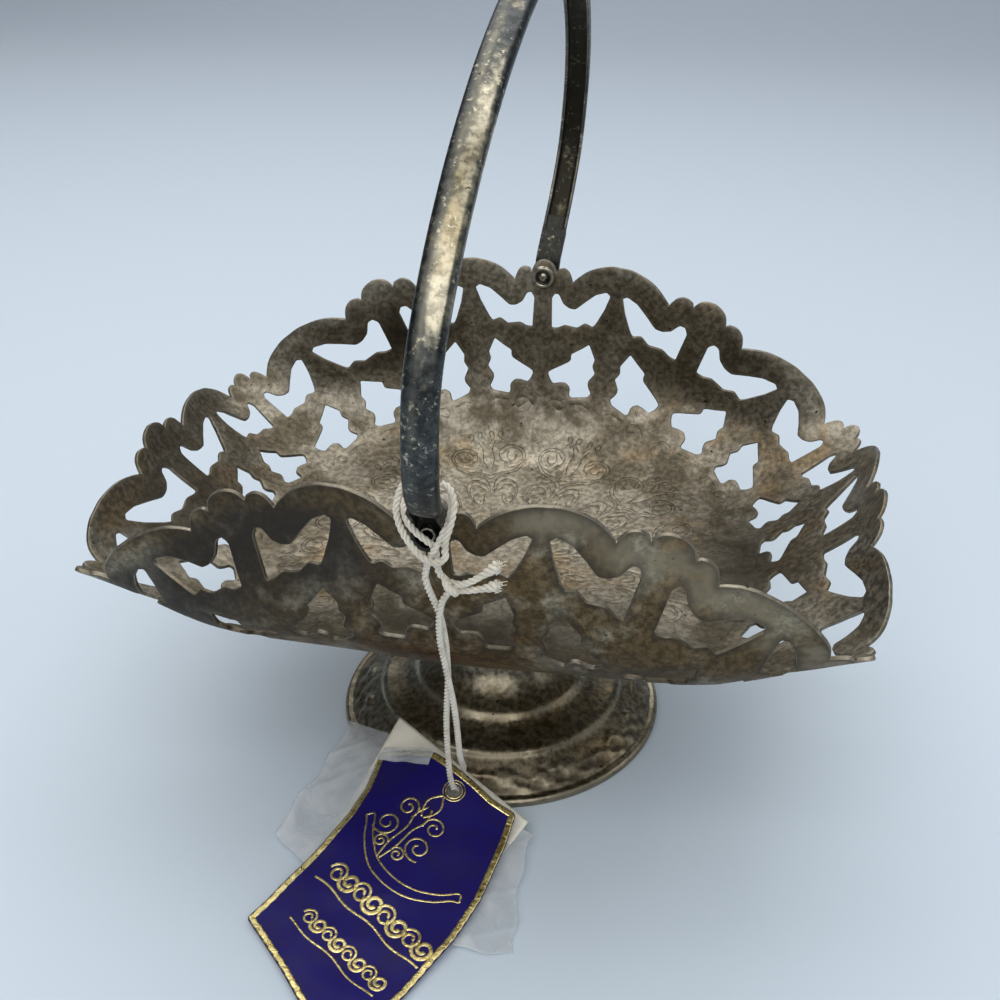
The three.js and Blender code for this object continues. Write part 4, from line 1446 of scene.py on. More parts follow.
@dataclass
class Engraving:
    """The engraved lines of a repeat, drawn to one side of the middle of its lobe: [across, out]."""

    scroll_bearing: float = 7.9

    @staticmethod
    def polar(bearing: np.ndarray, radius: np.ndarray) -> np.ndarray:
        """Points at a bearing in degrees from the lobe's middle line and a radius."""
        angle = np.radians(bearing)
        return np.stack([radius * np.sin(angle), radius * np.cos(angle)], axis=-1)

    def scroll(self, centre: tuple[float, float], size: tuple[float, float], angles: tuple[float, float],
               shrink: float, steps: int = 26) -> np.ndarray:
        """A spiral about a bearing and radius.

        Args:
            centre: The bearing and radius of its eye.
            size: Its half width, in degrees of bearing, and its half height, in millimetres.
            angles: The turn it starts and ends at, in degrees from the radius's outward direction.
            shrink: The share of its size that is left at the end.
            steps: How many points it has.

        Returns:
            Points at eye + [width s sin(turn), height s cos(turn)], with s from 1 to shrink.
        """
        turn = np.radians(np.linspace(angles[0], angles[1], steps))
        scale = np.linspace(1.0, shrink, steps)
        bearing = centre[0] + size[0] * scale * np.sin(turn)
        return self.polar(bearing, centre[1] + size[1] * scale * np.cos(turn))

    def lines(self) -> list[np.ndarray]:
        """Draws the scrolls on the floor, the curls above them and the veins of the spear leaf.

        Returns:
            The lines, [across, out], in millimetres from the middle of the lobe.
        """
        middle = self.scroll_bearing
        return [np.asarray(line, float) for line in (
            self.scroll((middle - 0.3, 56.8), (5.6, 5.2), (172, -150), 0.62),
            self.scroll((middle - 0.3, 56.8), (4.5, 4.2), (120, -60), 0.55, 20),
            self.scroll((middle + 0.4, 56.2), (2.2, 2.4), (-40, -260), 0.5, 14),
            self.scroll((middle - 0.2, 36.6), (6.2, 9.3), (-75, 255), 0.5, 30),
            self.scroll((middle + 0.2, 35.8), (4.6, 7.0), (-60, 150), 0.6, 22),
            self.scroll((middle + 0.6, 33.8), (2.6, 3.4), (10, 240), 0.5, 14),
            [[0.6, 38.0], [0.9, 42.0], [2.2, 45.5], [4.4, 46.6]],
            [[0.5, 47.3], [3.4, 48.4], [6.8, 49.0], [9.6, 51.2]],
            [[0.6, 45.4], [2.6, 47.3], [6.2, 47.8], [9.2, 49.2], [11.2, 51.6]],
            [[0.7, 51.0], [1.8, 55.0], [1.6, 59.5], [2.6, 62.0]],
            [[1.0, 62.0], [2.7, 64.2], [2.4, 66.4], [1.2, 66.2], [1.4, 65.0]],
            [[5.4, 62.8], [4.2, 64.6], [4.8, 66.2], [6.0, 65.6], [5.6, 64.6]],
            self.scroll((6.9, 19.0), (4.6, 3.4), (-120, 160), 0.5, 18),
            [[0.5, 22.5], [1.4, 24.5], [1.0, 27.5]],
            [[0.9, 84.0], [0.8, 90.0], [1.4, 95.0], [3.0, 99.0], [5.4, 102.0]],
            [[1.9, 83.6], [1.7, 89.0], [2.7, 93.4], [4.6, 96.8], [6.5, 99.4]],
            [[2.9, 85.4], [2.8, 89.0], [4.1, 92.2], [5.4, 95.0]],
            [[0.8, 93.0], [1.1, 98.0], [2.5, 102.0], [4.7, 105.4]],
            [[0.8, 98.0], [1.1, 102.5], [2.3, 106.0], [3.9, 108.6]],
            [[0.8, 102.5], [1.0, 107.0], [2.0, 111.0]],
            [[0.7, 107.5], [0.9, 111.0], [1.3, 114.4]],
            [[2.4, 97.0], [3.4, 96.4], [4.2, 97.2], [3.6, 98.2]],
            [[1.7, 101.2], [2.7, 100.6], [3.4, 101.6], [2.7, 102.6]],
        )]

    @staticmethod
    def post_lines() -> list[list[list[float]]]:
        """Draws the veins of the leaf round the post and the curls at its neck.

        Returns:
            The lines, [across from the post, out].
        """
        return [
            [[0.8, 80.0], [1.3, 86.0], [3.0, 91.5], [6.5, 95.6], [10.5, 98.8]],
            [[1.2, 92.5], [3.2, 97.0], [6.6, 99.9], [10.0, 100.9]],
            [[1.0, 97.5], [2.4, 100.6], [4.4, 101.4]],
            [[5.2, 91.2], [8.6, 94.2], [12.6, 96.6], [15.4, 98.2]],
            [[7.6, 97.2], [9.2, 96.4], [10.2, 97.4], [9.2, 98.4]],
            [[1.2, 104.0], [1.0, 109.0], [1.3, 115.0]],
            [[2.3, 103.5], [2.1, 109.0], [2.3, 114.0]],
            [[2.2, 75.5], [4.4, 77.6], [7.2, 77.4], [8.4, 75.6], [7.2, 74.2], [5.9, 75.0]],
            [[12.0, 76.4], [14.4, 76.6], [16.4, 75.6]],
        ]


# Foot


@dataclass
class PedestalFoot:
    """The spun and stamped foot, a thin shell on the outside profile [radius, height]."""

    outside: tuple = (
        (50.2, 0.5), (50.2, 1.5), (49.2, 2.6), (47.6, 2.5), (44.5, 4.4), (42.0, 6.5), (38.5, 8.7),
        (38.0, 9.6), (36.5, 10.6), (34.5, 10.9), (33.2, 11.2), (30.0, 12.2), (27.5, 13.6), (26.0, 15.4),
        (25.0, 16.0), (21.0, 18.5), (17.5, 23.0), (15.6, 29.0), (15.0, 36.0), (15.8, 43.0), (18.0, 48.5),
        (21.0, 52.9),
    )
    wall: float = 1.2
    sectors: int = 300
    row_spacing: float = 0.75
    relief: float = 0.6
    standing_ring: tuple[float, float] = (47.8, 49.8)

    def raised(self, radius: np.ndarray, angle: np.ndarray) -> tuple[np.ndarray, np.ndarray]:
        """Height and hollows of the stamped band: a ragged lip and shells between radii 41 and 49.

        Args:
            radius: The radius on the profile.
            angle: The bearing in radians.

        Returns:
            The height over the profile, and up to 0.5 in the hollows that hold tarnish. The lip's radius and
            the shells are sums of sines of the bearing whose phases wander.
        """
        wander = angle + 0.11 * np.sin(3 * angle + 0.7) + 0.05 * np.sin(7 * angle)
        lip = 42.9 + 0.8 * np.sin(14 * wander) + 0.5 * np.sin(31 * wander + 1.1) + 0.25 * np.sin(53 * angle)
        ridge = np.exp(-(((radius - lip) / 0.5) ** 2))
        band = smooth_step(0.0, 0.7, radius - lip) * (1 - smooth_step(46.4, 48.2, radius))
        fans = np.sin(28 * wander + 1.2 * (radius - 44.0)) + 0.7 * np.sin(43 * wander - 0.9 * radius + 2.0)
        shells = 0.5 + 0.5 * np.tanh(1.8 * fans)
        ribs = 0.5 + 0.5 * np.sin(118 * wander + 1.7 * np.sin(14 * wander) * (radius - 43.0))
        height = 0.8 * ridge + band * (0.3 + 0.8 * shells + 0.28 * ribs * shells)
        return self.relief * height, band * (1 - shells) * 0.5

    def build(self, metal: bpy.types.Material) -> None:
        """Turns the profile into the foot: its outside with relief, and its inside one wall in.

        Args:
            metal: Its material.
        """
        profile = flowing(self.outside, self.row_spacing)
        out = right_of(unit(np.gradient(profile, axis=0)))
        out = np.where(out[:, 1:2] + out[:, :1] * 0.2 < 0, -out, out)
        inner = profile - out * self.wall
        inner[:, 1] = np.maximum(inner[:, 1], 0.0)
        foot_ring = [[radius, 0.0] for radius in self.standing_ring]
        inner[:2] = inner[:2] * [1, 0] + [[-0.2, 0.6], [-0.2, 1.0]]
        whole = np.vstack([profile, inner[::-1], foot_ring])
        angle = np.linspace(0.0, 2 * math.pi, self.sectors, endpoint=False)
        radius, bearing = np.meshgrid(profile[:, 0], angle, indexing="ij")
        height, hollow = self.raised(radius, bearing)
        lift = np.zeros((len(whole), self.sectors, 2))
        lift[: len(profile)] = out[:, None, :] * height[..., None]
        radius, level = np.moveaxis(whole[:, None, :] + lift, -1, 0)
        points = np.stack([radius * np.sin(angle), radius * np.cos(angle), level], axis=-1)
        quads = grid_quads(len(whole), self.sectors, wrap_rows=True, wrap_columns=True)
        unseen = (len(whole) - len(profile)) * self.sectors
        masks = {
            "recess_and_shade": np.concatenate([hollow.ravel(), np.full(unseen, 0.3)]),
            "edge": np.concatenate([self.edges(profile[:, 0], height), np.zeros(unseen)]),
        }
        shell = Surface(points.reshape(-1, 3), quads, masks=masks)
        place_closed(shell, "pedestal_foot", metal, Body.BASKET, "foot_plate", "foot")

    @staticmethod
    def edges(radius: np.ndarray, height: np.ndarray) -> np.ndarray:
        """Finds where rubbing has kept the plate bright.

        Args:
            radius: The radius of each point of the profile.
            height: The relief's height at each point of the outside.

        Returns:
            Up to 1 at the wire edge, on the high relief and on the steps' crests.
        """
        crests = ((50.1, 0.5, 1.0), (26.4, 0.5, 0.8), (38.2, 0.4, 0.5))
        wire = sum(share * np.exp(-(((radius - crest) / width) ** 2)) for crest, width, share in crests)
        return np.clip(wire[:, None] + 0.5 * smooth_step(0.4, 0.8, height), 0, 1).ravel()


# Handle and rivets


@dataclass
class SwingHandle:
    """The handle: a channel on one arch, measured from the pivots' axis, with a rounded tray at each end."""

    pivot_height: float = 116.0
    rest_tilt: float = 6.0
    leg_offset: float = 82.5
    leg_straight: float = 3.5
    flare_start: float = 1.0
    flare_end: float = 15.0
    half_width: float = 105.0
    widest_height: float = 37.0
    height: float = 111.7
    fullness: float = 0.51
    strip_width: float = 7.8
    packed_width: float = 8.5
    strip_depth: float = 3.4
    strip_wall: float = 1.0
    web_start: float = 14.0
    step: float = 1.3
    fine_step: float = 0.1
    dent: float = 1.1
    dent_height: float = 31.0
    dent_spread: float = 13.0
    tray_bevel: float = 0.22

    @staticmethod
    def bezier(corners: list[tuple[float, float]], count: int = 300) -> np.ndarray:
        """A cubic Bezier curve.

        Args:
            corners: Its four corners.
            count: How many points it has.

        Returns:
            (1 - t)^3 a + 3 (1 - t)^2 t b + 3 (1 - t) t^2 c + t^3 d, with t from 0 to 1.
        """
        a, b, c, d = (np.array(corner) for corner in corners)
        t = np.linspace(0.0, 1.0, count)[:, None]
        return (1 - t) ** 3 * a + 3 * (1 - t) ** 2 * t * b + 3 * (1 - t) * t**2 * c + t**3 * d

    def arch(self) -> np.ndarray:
        """Draws the arch as two Bezier curves, the leg and the bow, and their mirror image.

        Returns:
            [y, height] from the near pivot to the far one, finely spaced.
        """
        rise = self.fullness * (self.height - self.widest_height)
        leg = self.bezier([
            (-self.leg_offset, self.leg_straight),
            (-self.leg_offset, self.leg_straight + self.flare_start),
            (-self.half_width, self.widest_height - self.flare_end),
            (-self.half_width, self.widest_height),
        ])
        bow = self.bezier([
            (-self.half_width, self.widest_height), (-self.half_width, self.widest_height + rise),
            (-self.fullness * self.half_width, self.height), (0.0, self.height),
        ])
        near = np.vstack([[[-self.leg_offset, 0.0]], leg, bow[1:]])
        return spaced(np.vstack([near, near[-2::-1] * [-1, 1]]), self.fine_step)

    def stretch(self, start: float, end: float) -> tuple[np.ndarray, np.ndarray, np.ndarray]:
        """Takes a stretch of the arch.

        Args:
            start: The length that is left out at the near end.
            end: The length that is left out at the far end.

        Returns:
            The strip's centres, and its sideways and outward directions there.
        """
        whole = self.arch()
        lengths = np.arange(len(whole)) * self.fine_step
        total = lengths[-1]
        wanted = np.linspace(start, total - end, int((total - start - end) / self.step))
        line, ahead, back = (
            np.stack([np.interp(wanted + shift, lengths, whole[:, k]) for k in range(2)], axis=1)
            for shift in (0.0, 0.3, -0.3)
        )
        along = unit(ahead - back)
        centres = np.stack([np.zeros(len(line)), line[:, 0], line[:, 1]], axis=1)
        outward = np.stack([np.zeros(len(line)), -along[:, 1], along[:, 0]], axis=1)
        across = np.repeat([[1.0, 0.0, 0.0]], len(line), axis=0)
        return centres, across, outward

    def leaned(self, points: np.ndarray) -> np.ndarray:
        """Leans points about the pivots' axis to rest, and lifts them to the pivots.

        Args:
            points: Points measured from the pivots' axis.

        Returns:
            [x cos + z sin, y, z cos - x sin + pivot height] of each.
        """
        angle = math.radians(self.rest_tilt)
        cosine, sine = math.cos(angle), math.sin(angle)
        x, y, z = points.T
        return np.stack([x * cosine + z * sine, y, z * cosine - x * sine + self.pivot_height], axis=1)

    def section(self) -> np.ndarray:
        """Draws the channel's section, open inwards and with a domed outer face.

        Returns:
            Its outline, [across, outwards], counter-clockwise.
        """
        half, depth, wall = self.strip_width / 2, self.strip_depth / 2, self.strip_wall
        inner = half - wall
        corners = np.array([
            [-half, -depth], [-inner, -depth], [-inner, depth - wall - 0.7],
            [-inner + 0.6, depth - wall - 0.15], [inner - 0.6, depth - wall - 0.15],
            [inner, depth - wall - 0.7], [inner, -depth], [half, -depth], [half, depth - 1.7],
            [half - 0.3, depth - 0.95], [half - 0.95, depth - 0.38], [1.5, depth - 0.06], [0.0, depth],
            [-1.5, depth - 0.06], [-half + 0.95, depth - 0.38], [-half + 0.3, depth - 0.95],
            [-half, depth - 1.7],
        ])
        return softened(corners, 0.35, 0.32)

    def build(self, metal: bpy.types.Material) -> None:
        """Sweeps the channel along the arch, with a dent in the near leg, and bevels the end trays.

        Args:
            metal: The material.
        """
        centres, across, outward = self.stretch(self.web_start, self.web_start)
        dented = np.exp(-(((centres[:, 2] - self.dent_height) / self.dent_spread) ** 2))
        centres[:, 0] += self.dent * dented * (centres[:, 1] < 0)
        centres += outward * self.waviness(len(centres))[:, None]
        section = self.section()
        strip = swept(section, centres, across, outward)
        strip.masks = self.wear(section, len(centres))
        strip.points = self.leaned(strip.points)
        place_closed(strip, "handle_strip", metal, Body.HANDLE, "handle_plate", "handle")
        for node in ("handle_end_near", "handle_end_far"):
            tray = bevelled_copy(node, metal, self.tray_bevel)
            self.narrowed(tray)
            place(tray, Body.HANDLE, "handle_plate", node)

    @staticmethod
    def waviness(count: int) -> np.ndarray:
        """How far the strip leaves its arch at each centre, as a hand-bent one does."""
        row = np.arange(count)
        return 0.05 * np.sin(row * 0.11) + 0.04 * np.sin(row * 0.37 + 1)

    @staticmethod
    def wear(section: np.ndarray, count: int) -> dict[str, np.ndarray]:
        """The strip's masks: rubbed on its face and lips, painted shade at its sides, and tarnished in its
        hollow and on top.

        Args:
            section: The channel's section.
            count: How many times it stands along the arch.

        Returns:
            A value for each point of the strip, and for the middles of its two ends.
        """
        across, out = section.T
        rubbed = 0.35 * np.exp(-(((across + 1.3) / 0.9) ** 2)) * (out > 0.9)
        # Painted shade: darker over the left half of the face and on the right side wall.
        shaded = 0.5 * smooth_step(0.4, -1.8, across) + 0.3 * smooth_step(2.2, 3.2, across)
        lips = 0.35 * np.exp(-(((out + 1.6) / 0.25) ** 2))
        hollow = ((np.abs(across) < 2.9) & (out < 0.9)) * 0.7
        share = np.linspace(0.0, 1.0, count)[:, None]
        low = 1 - smooth_step(0.08, 0.2, share)
        top = smooth_step(0.27, 0.42, share)
        return {
            "edge": np.append((rubbed * (1 - 0.6 * low) + lips).ravel(), [0.5, 0.5]),
            "recess_and_shade": np.append(np.tile(hollow, count), [0.0, 0.0]),
            "stain": np.append((0.8 * low + 0.6 * top - 0.3 + shaded).ravel(), [0.4, 0.4]),
        }

    def narrowed(self, tray: bpy.types.Object) -> None:
        """Draws an end tray in to the strip's width, across the handle, and keeps its height.

        Args:
            tray: The tray, which is changed.
        """
        mesh = tray.data
        points = np.empty(len(mesh.vertices) * 3)
        mesh.vertices.foreach_get("co", points)
        points = points.reshape(-1, 3) / MILLIMETRE - [0.0, 0.0, self.pivot_height]
        angle = math.radians(self.rest_tilt)
        axis = np.array([math.cos(angle), 0.0, -math.sin(angle)])
        across = points @ axis
        moved = points - np.outer(across * (1 - self.strip_width / self.packed_width), axis)
        moved += [0.0, 0.0, self.pivot_height]
        mesh.vertices.foreach_set("co", (moved * MILLIMETRE).ravel())
        for name, value in (("stain", 0.6), ("recess_and_shade", 0.45)):
            write_mask(mesh, name, np.full(len(mesh.vertices), value))
        mesh.update()


def bevelled_copy(node: str, metal: bpy.types.Material, width: float) -> bpy.types.Object:
    """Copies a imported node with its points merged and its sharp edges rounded.

    Args:
        node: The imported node's name.
        metal: The copy's material.
        width: The width of its bevels.

    Returns:
        The copy.
    """
    mesh = bpy.data.objects[node].data.copy()
    mesh.materials.clear()
    mesh.materials.append(metal)
    work = bmesh.new()
    work.from_mesh(mesh)
    bmesh.ops.remove_doubles(work, verts=work.verts, dist=2e-6)
    bmesh.ops.dissolve_limit(work, angle_limit=math.radians(1), verts=work.verts, edges=work.edges)
    work.to_mesh(mesh)
    work.free()
    made = linked(f"{node}_tray", mesh)
    bevel = made.modifiers.new("softened edges", "BEVEL")
    bevel.width = width * MILLIMETRE
    bevel.segments = 2
    bevel.limit_method = "ANGLE"
    bevel.angle_limit = math.radians(40)
    mesh.polygons.foreach_set("use_smooth", np.ones(len(mesh.polygons), bool))
    return made


@dataclass
class TubularRivet:
    """A rivet, turned about the pivots' axis: a rolled collar inside, a shoulder and a tube end outside."""

    tab_offset: float
    tab_lean: float
    side: int
    pivot_height: float = 116.0
    leg_offset: float = 82.5
    half_sheet: float = 0.6
    gap: float = 0.3
    sectors: int = 56

    def profile(self) -> np.ndarray:
        """Draws half the rivet's section, from the inner dome to the end of the tube.

        Returns:
            Points [radius, distance outwards from the tab's middle].
        """
        face = self.half_sheet + self.tab_lean + self.gap
        end = -face - 1.4
        plate_in = self.leg_offset - 1.7 - self.tab_offset
        plate_out = plate_in + 1.0
        tail = plate_out + self.gap + 1.6
        return np.array([
            [0.05, end - 0.1], [0.8, end + 0.02], [1.3, end + 0.3], [1.6, end + 0.75], [1.75, end + 1.05],
            [2.25, end + 1.05], [2.4, end + 0.5], [2.6, end + 0.1], [3.0, end - 0.05], [3.45, end + 0.12],
            [3.75, end + 0.5], [3.8, end + 0.95], [3.7, -face], [1.85, -face], [1.85, face], [3.2, face],
            [3.2, plate_in - self.gap], [1.5, plate_in - self.gap], [1.5, plate_out + self.gap],
            [1.9, plate_out + self.gap], [2.0, plate_out + 0.55], [1.88, plate_out + 0.72],
            [2.0, plate_out + 0.9], [1.88, plate_out + 1.08], [2.0, plate_out + 1.26],
            [1.9, tail - 0.16], [1.98, tail - 0.05], [1.75, tail], [1.38, tail - 0.08],
            [1.3, tail - 0.3], [1.28, tail - 1.5], [0.05, tail - 1.6],
        ])

    def build(self, metal: bpy.types.Material, name: str, node: str) -> None:
        """Turns the profile about the pivots' axis.

        Args:
            metal: The material.
            name: The piece's name.
            node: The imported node's name.
        """
        profile = self.profile()
        radius, out = profile[:, :1], profile[:, 1:]
        sine, cosine = bearings(self.sectors).T
        along = np.repeat(self.side * (self.tab_offset + out), self.sectors, axis=1)
        surface = capped(np.stack([radius * cosine, along, self.pivot_height + radius * sine], axis=-1))
        collar_hollow = (np.abs(radius - 2.0) < 0.45) & (out < 0)
        # Painted shade fills the short closed bore of the tube end and the middle of its cap, standing in for
        # depth.
        bore_shade = (radius < 1.35) & (out > 2)
        worn = np.exp(-(((radius - 3.2) / 0.5) ** 2)) + (radius < 1.2) * 0.8
        surface.masks = {
            "recess_and_shade": np.append(np.repeat(collar_hollow * 0.8 + bore_shade, self.sectors), [0.2, 1.0]),
            "edge": np.append(np.repeat(worn, self.sectors), [0.6, 0.0]),
        }
        place_closed(surface, name, metal, Body.BASKET, "rivet_plate", node)


# Tag


@dataclass
class HangTag:
    """The dark print, the cream leaf and the torn film behind it, in a pile that rides up to the string."""

    card_length: float = 68.0
    card_turn: float = -20.0
    top_middle: tuple[float, float] = (-5.6, -49.8)
    hole: tuple[float, float] = (-2.2, -58.0)
    hole_radius: float = 2.0
    thickness: float = 0.4
    card_layer: float = 1.55
    rise: float = 7.4
    strip_half: float = 20.0
    strip_fade: float = 22.0
    crown: float = 6.5
    crown_half: float = 30.0
    lift: float = 0.2
    print_turn: float = -35.0
    border: float = 1.7
    outline: tuple = (
        (-28.3, -43.2), (-20, -43.6), (-10.8, -46.3), (-3.5, -50.6), (3, -54.1), (8.8, -57.6), (16, -60),
        (14.9, -70.7), (11.6, -88.9), (7.1, -102.3), (-1.6, -120.4), (-6, -127.3), (-12, -127.9),
        (-25, -127.6), (-34.4, -117.3), (-42.8, -108.9), (-48.6, -103.3), (-44.7, -95.8), (-40.1, -85.9),
        (-35.9, -77), (-31.3, -66), (-28.9, -56.7),
    )
    leaf: tuple = ((-26.2, -27.7, 11), (19.2, -58, 5), (2, -98, 0.9), (-38, -80, 1))
    film: tuple = ((-44.7, -22.6), (22, -62), (20.5, -106), (-50.5, -78))
    film_thickness: float = 0.1
    fold: tuple = ((-28.0, -45.6), (-11.0, -49.2))
    fold_thickness: float = 0.12
    hole_rings: tuple = ((2.35, 0.5), (3.15, 0.35))
    print_shift: tuple[float, float] = (-1.0, -5.4)
    print_stretch: tuple[float, float] = (1.5, 1.35)
    curls: tuple = ((3.6, 12.6, 2.4, 2.6), (4.4, 17.8, 2.9, 0.9), (2.3, 21.6, 1.6, 3.6))
    stems: tuple = (
        ((0.0, 6.2), (1.5, 8.6), (1.3, 10.6), (0.2, 12.4)),
        ((0.3, 24.5), (0.9, 20.5), (0.7, 16.0), (1.4, 12.8), (0.5, 10.0)),
    )
    scroll_rows: tuple = ((-5.5, 38.0, 5.0, 3.2, 1.2), (0.0, 52.0, 4.1, 2.5, 1.0))
    scrolls_in_row: int = 8

    def climb(self, table: np.ndarray) -> tuple[np.ndarray, np.ndarray]:
        """Measures points of the table along the card.

        Args:
            table: The points.

        Returns:
            How far up the card each lies, 0 at its foot and 1 at its top, and how far across it.
        """
        turn = math.radians(self.card_turn)
        from_top = table - np.array(self.top_middle)
        across = from_top @ [math.cos(turn), math.sin(turn)]
        down = from_top @ [math.sin(turn), -math.cos(turn)]
        return np.clip(1.0 - down / self.card_length, 0.0, 1.25), across

    def ramp(self, climb: np.ndarray, across: np.ndarray) -> np.ndarray:
        """The pile's rise towards the string, which falls off beside its middle strip.

        Args:
            climb: How far up the card.
            across: How far across it.

        Returns:
            rise climb^1.4 exp(-past^2), where past counts from the strip's side.
        """
        past = np.maximum(0.0, np.abs(across) - self.strip_half) / self.strip_fade
        return self.rise * climb**1.4 * np.exp(-(past**2))

    def card_height(self, table: np.ndarray) -> np.ndarray:
        """Finds the middle of the card.

        Args:
            table: Points of the table.

        Returns:
            The ramp, a crown round the hole that grows with climb^2, and a low swell.
        """
        climb, across = self.climb(table)
        crown = np.cos(np.minimum(np.abs(across) / self.crown_half, 1.0) * (math.pi / 2)) ** 2
        swell = 0.25 * np.sin(table[:, 0] * 0.19 + 1.0) * np.sin(table[:, 1] * 0.16)
        swell = swell + 0.1 * np.sin(table[:, 1] * 0.4)
        slope = self.ramp(climb, across) + self.crown * crown * climb**2
        return self.lift + self.card_layer + slope + swell

    def film_height(self, table: np.ndarray) -> np.ndarray:
        """Finds the middle of the film, which lies lower than the leaf.

        Args:
            table: Points of the table.

        Returns:
            The ramp, less on the right, with soft and sharp creases.
        """
        climb, across = self.climb(table)
        slope = self.ramp(climb, across) * (1 - 0.4 * smooth_step(-16.0, 16.0, across))
        crease = np.sin(table[:, 0] * 0.31 + table[:, 1] * 0.17) * np.sin(table[:, 1] * 0.23 + 1.2)
        sharp = np.abs(np.sin(table[:, 0] * 0.12 - table[:, 1] * 0.21 + 0.4 * np.sin(table[:, 1] * 0.1)))
        return 0.3 + slope + 0.25 * np.clip(crease, -0.4, 1.0) + 0.3 * (1 - sharp) ** 4

    @staticmethod
    def slab(cut: CutSheet, height: np.ndarray, thickness: float) -> Surface:
        """Closes a cut sheet with its second face and its edge.

        Args:
            cut: The sheet.
            height: The height of its middle at each point.
            thickness: Its thickness.

        Returns:
            The slab.
        """
        upper = np.column_stack([cut.points, height + thickness / 2])
        lower = np.column_stack([cut.points, height - thickness / 2])
        rim, _ = cut.rim()
        count = len(upper)
        both = Surface(upper, triangles=cut.triangles)
        both = both.joined(Surface(lower, triangles=cut.triangles[:, ::-1]))
        both.quads = np.stack([rim[:, 0], rim[:, 0] + count, rim[:, 1] + count, rim[:, 1]], axis=1)
        return both

    def build(self, print_material: bpy.types.Material, leaf: bpy.types.Material, foil: bpy.types.Material,
              film: bpy.types.Material) -> None:
        """Makes the card with its gilding, the leaf and the film.

        Args:
            print_material: The card's material.
            leaf: The leaf's.
            foil: The gilding's.
            film: The film's.
        """
        hole = np.array(self.hole) + self.hole_radius * bearings(24)
        edge = softened(self.outline, 0.8, 1.0)[::-1]
        cut = CutSheet.cut(edge, [hole], [], 1.5)
        card = self.slab(cut, self.card_height(cut.points), self.thickness)
        place_closed(card, "tag_print_card", print_material, Body.BASKET, "tag_print", "tag_card")
        self.gilding(foil, edge)
        place_closed(self.back_leaf(), "tag_cream_leaf", leaf, Body.BASKET, "tag_leaf", "tag_back_leaf")
        place_closed(self.torn_film(), "tag_torn_film", film, Body.BASKET, "tag_film", "tag_film")

    def back_leaf(self) -> Surface:
        """Makes the leaf between its corners.

        Returns:
            A sheet whose height falls from the upper edge with the 1.3th power of the way left.
        """
        columns, rows = 50, 50
        s, t = unit_grid(rows, columns)
        middle = bilinear(self.leaf, s, t)
        a, b, c, d = (corner[2] for corner in self.leaf)
        top = (1 - s) * (a - d) + s * (b - c)
        middle[:, 2:] = (1 - s) * d + s * c + top * (1 - t) ** 1.3
        return self.sheet(middle, rows, columns, self.thickness)

    @staticmethod
    def sheet(middle: np.ndarray, rows: int, columns: int, thickness: float) -> Surface:
        """Closes a sheet round a grid of points.

        Args:
            middle: The points, row by row.
            rows: The number of rows.
            columns: The number of points in a row.
            thickness: Its thickness.

        Returns:
            The sheet.
        """
        lifted = np.array([0.0, 0.0, thickness / 2])
        quads = grid_quads(rows, columns)
        count = rows * columns
        ring = np.concatenate([
            np.arange(columns), np.arange(1, rows) * columns + columns - 1,
            (rows - 1) * columns + np.arange(columns - 1)[::-1], np.arange(1, rows - 1)[::-1] * columns,
        ])
        following = np.roll(ring, -1)
        wall = np.stack([ring, following, following + count, ring + count], axis=1)
        faces = np.vstack([quads[:, ::-1], quads + count, wall])
        return Surface(np.vstack([middle + lifted, middle - lifted]), faces)

    def ribbon(self, line: np.ndarray, width: float, closed: bool = False) -> Surface:
        """A raised foil line on the print.

        Args:
            line: Its middle, on the table.
            width: Its width.
            closed: Whether it joins up.

        Returns:
            A flat strip a hair over the card, with a bottom inside the card so that it is closed.
        """
        if closed:
            ahead, behind = np.roll(line, -1, axis=0), np.roll(line, 1, axis=0)
        else:
            ahead, behind = np.vstack([line[1:], line[-1:]]), np.vstack([line[:1], line[:-1]])
        side = right_of(unit(ahead - behind)) * (-width / 2)
        shares = np.array([-1.0, -0.6, 0.6, 1.0, 1.0, -1.0])
        table = (line[:, None] + shares[:, None] * side[:, None]).reshape(-1, 2)
        levels = np.tile([0.02, 0.07, 0.07, 0.02, -0.1, -0.1], len(line))
        points = np.column_stack([table, self.card_height(table) + self.thickness / 2 + levels])
        quads = grid_quads(len(line), 6, wrap_rows=closed, wrap_columns=True)
        if not closed:
            last = (len(line) - 1) * 6
            caps = np.array([[0, 1, 2, 3], [0, 3, 4, 5]])
            quads = np.vstack([quads, caps, caps[:, ::-1] + last])
        return Surface(points, quads)

    def gilding(self, foil: bpy.types.Material, edge: np.ndarray) -> None:
        """Makes the gold border, the double ring round the hole, and a generic ornament.

        Args:
            foil: The material.
            edge: The card's outline.
        """
        inward = -right_of(unit(np.roll(edge, -1, axis=0) - np.roll(edge, 1, axis=0)))
        crinkle = 0.12 * np.sin(np.arange(len(edge)) * 1.9) * smooth_step(-60.0, -110.0, edge[:, 1])
        border = edge + inward * (self.border / 2 + 0.15 + crinkle)[:, None]
        strips = [self.ribbon(border, self.border, closed=True)]
        for radius, width in self.hole_rings:
            strips.append(self.ribbon(self.hole + bearings(30) * radius, width, closed=True))
        turn = math.radians(self.print_turn)
        axes = np.array([[math.cos(turn), math.sin(turn)], [math.sin(turn), -math.cos(turn)]])
        strips += [self.ribbon(self.hole + line @ axes, width) for line, width in self.ornament()]
        place_closed(reduce(Surface.joined, strips), "tag_gilding", foil, Body.BASKET, "tag_print")

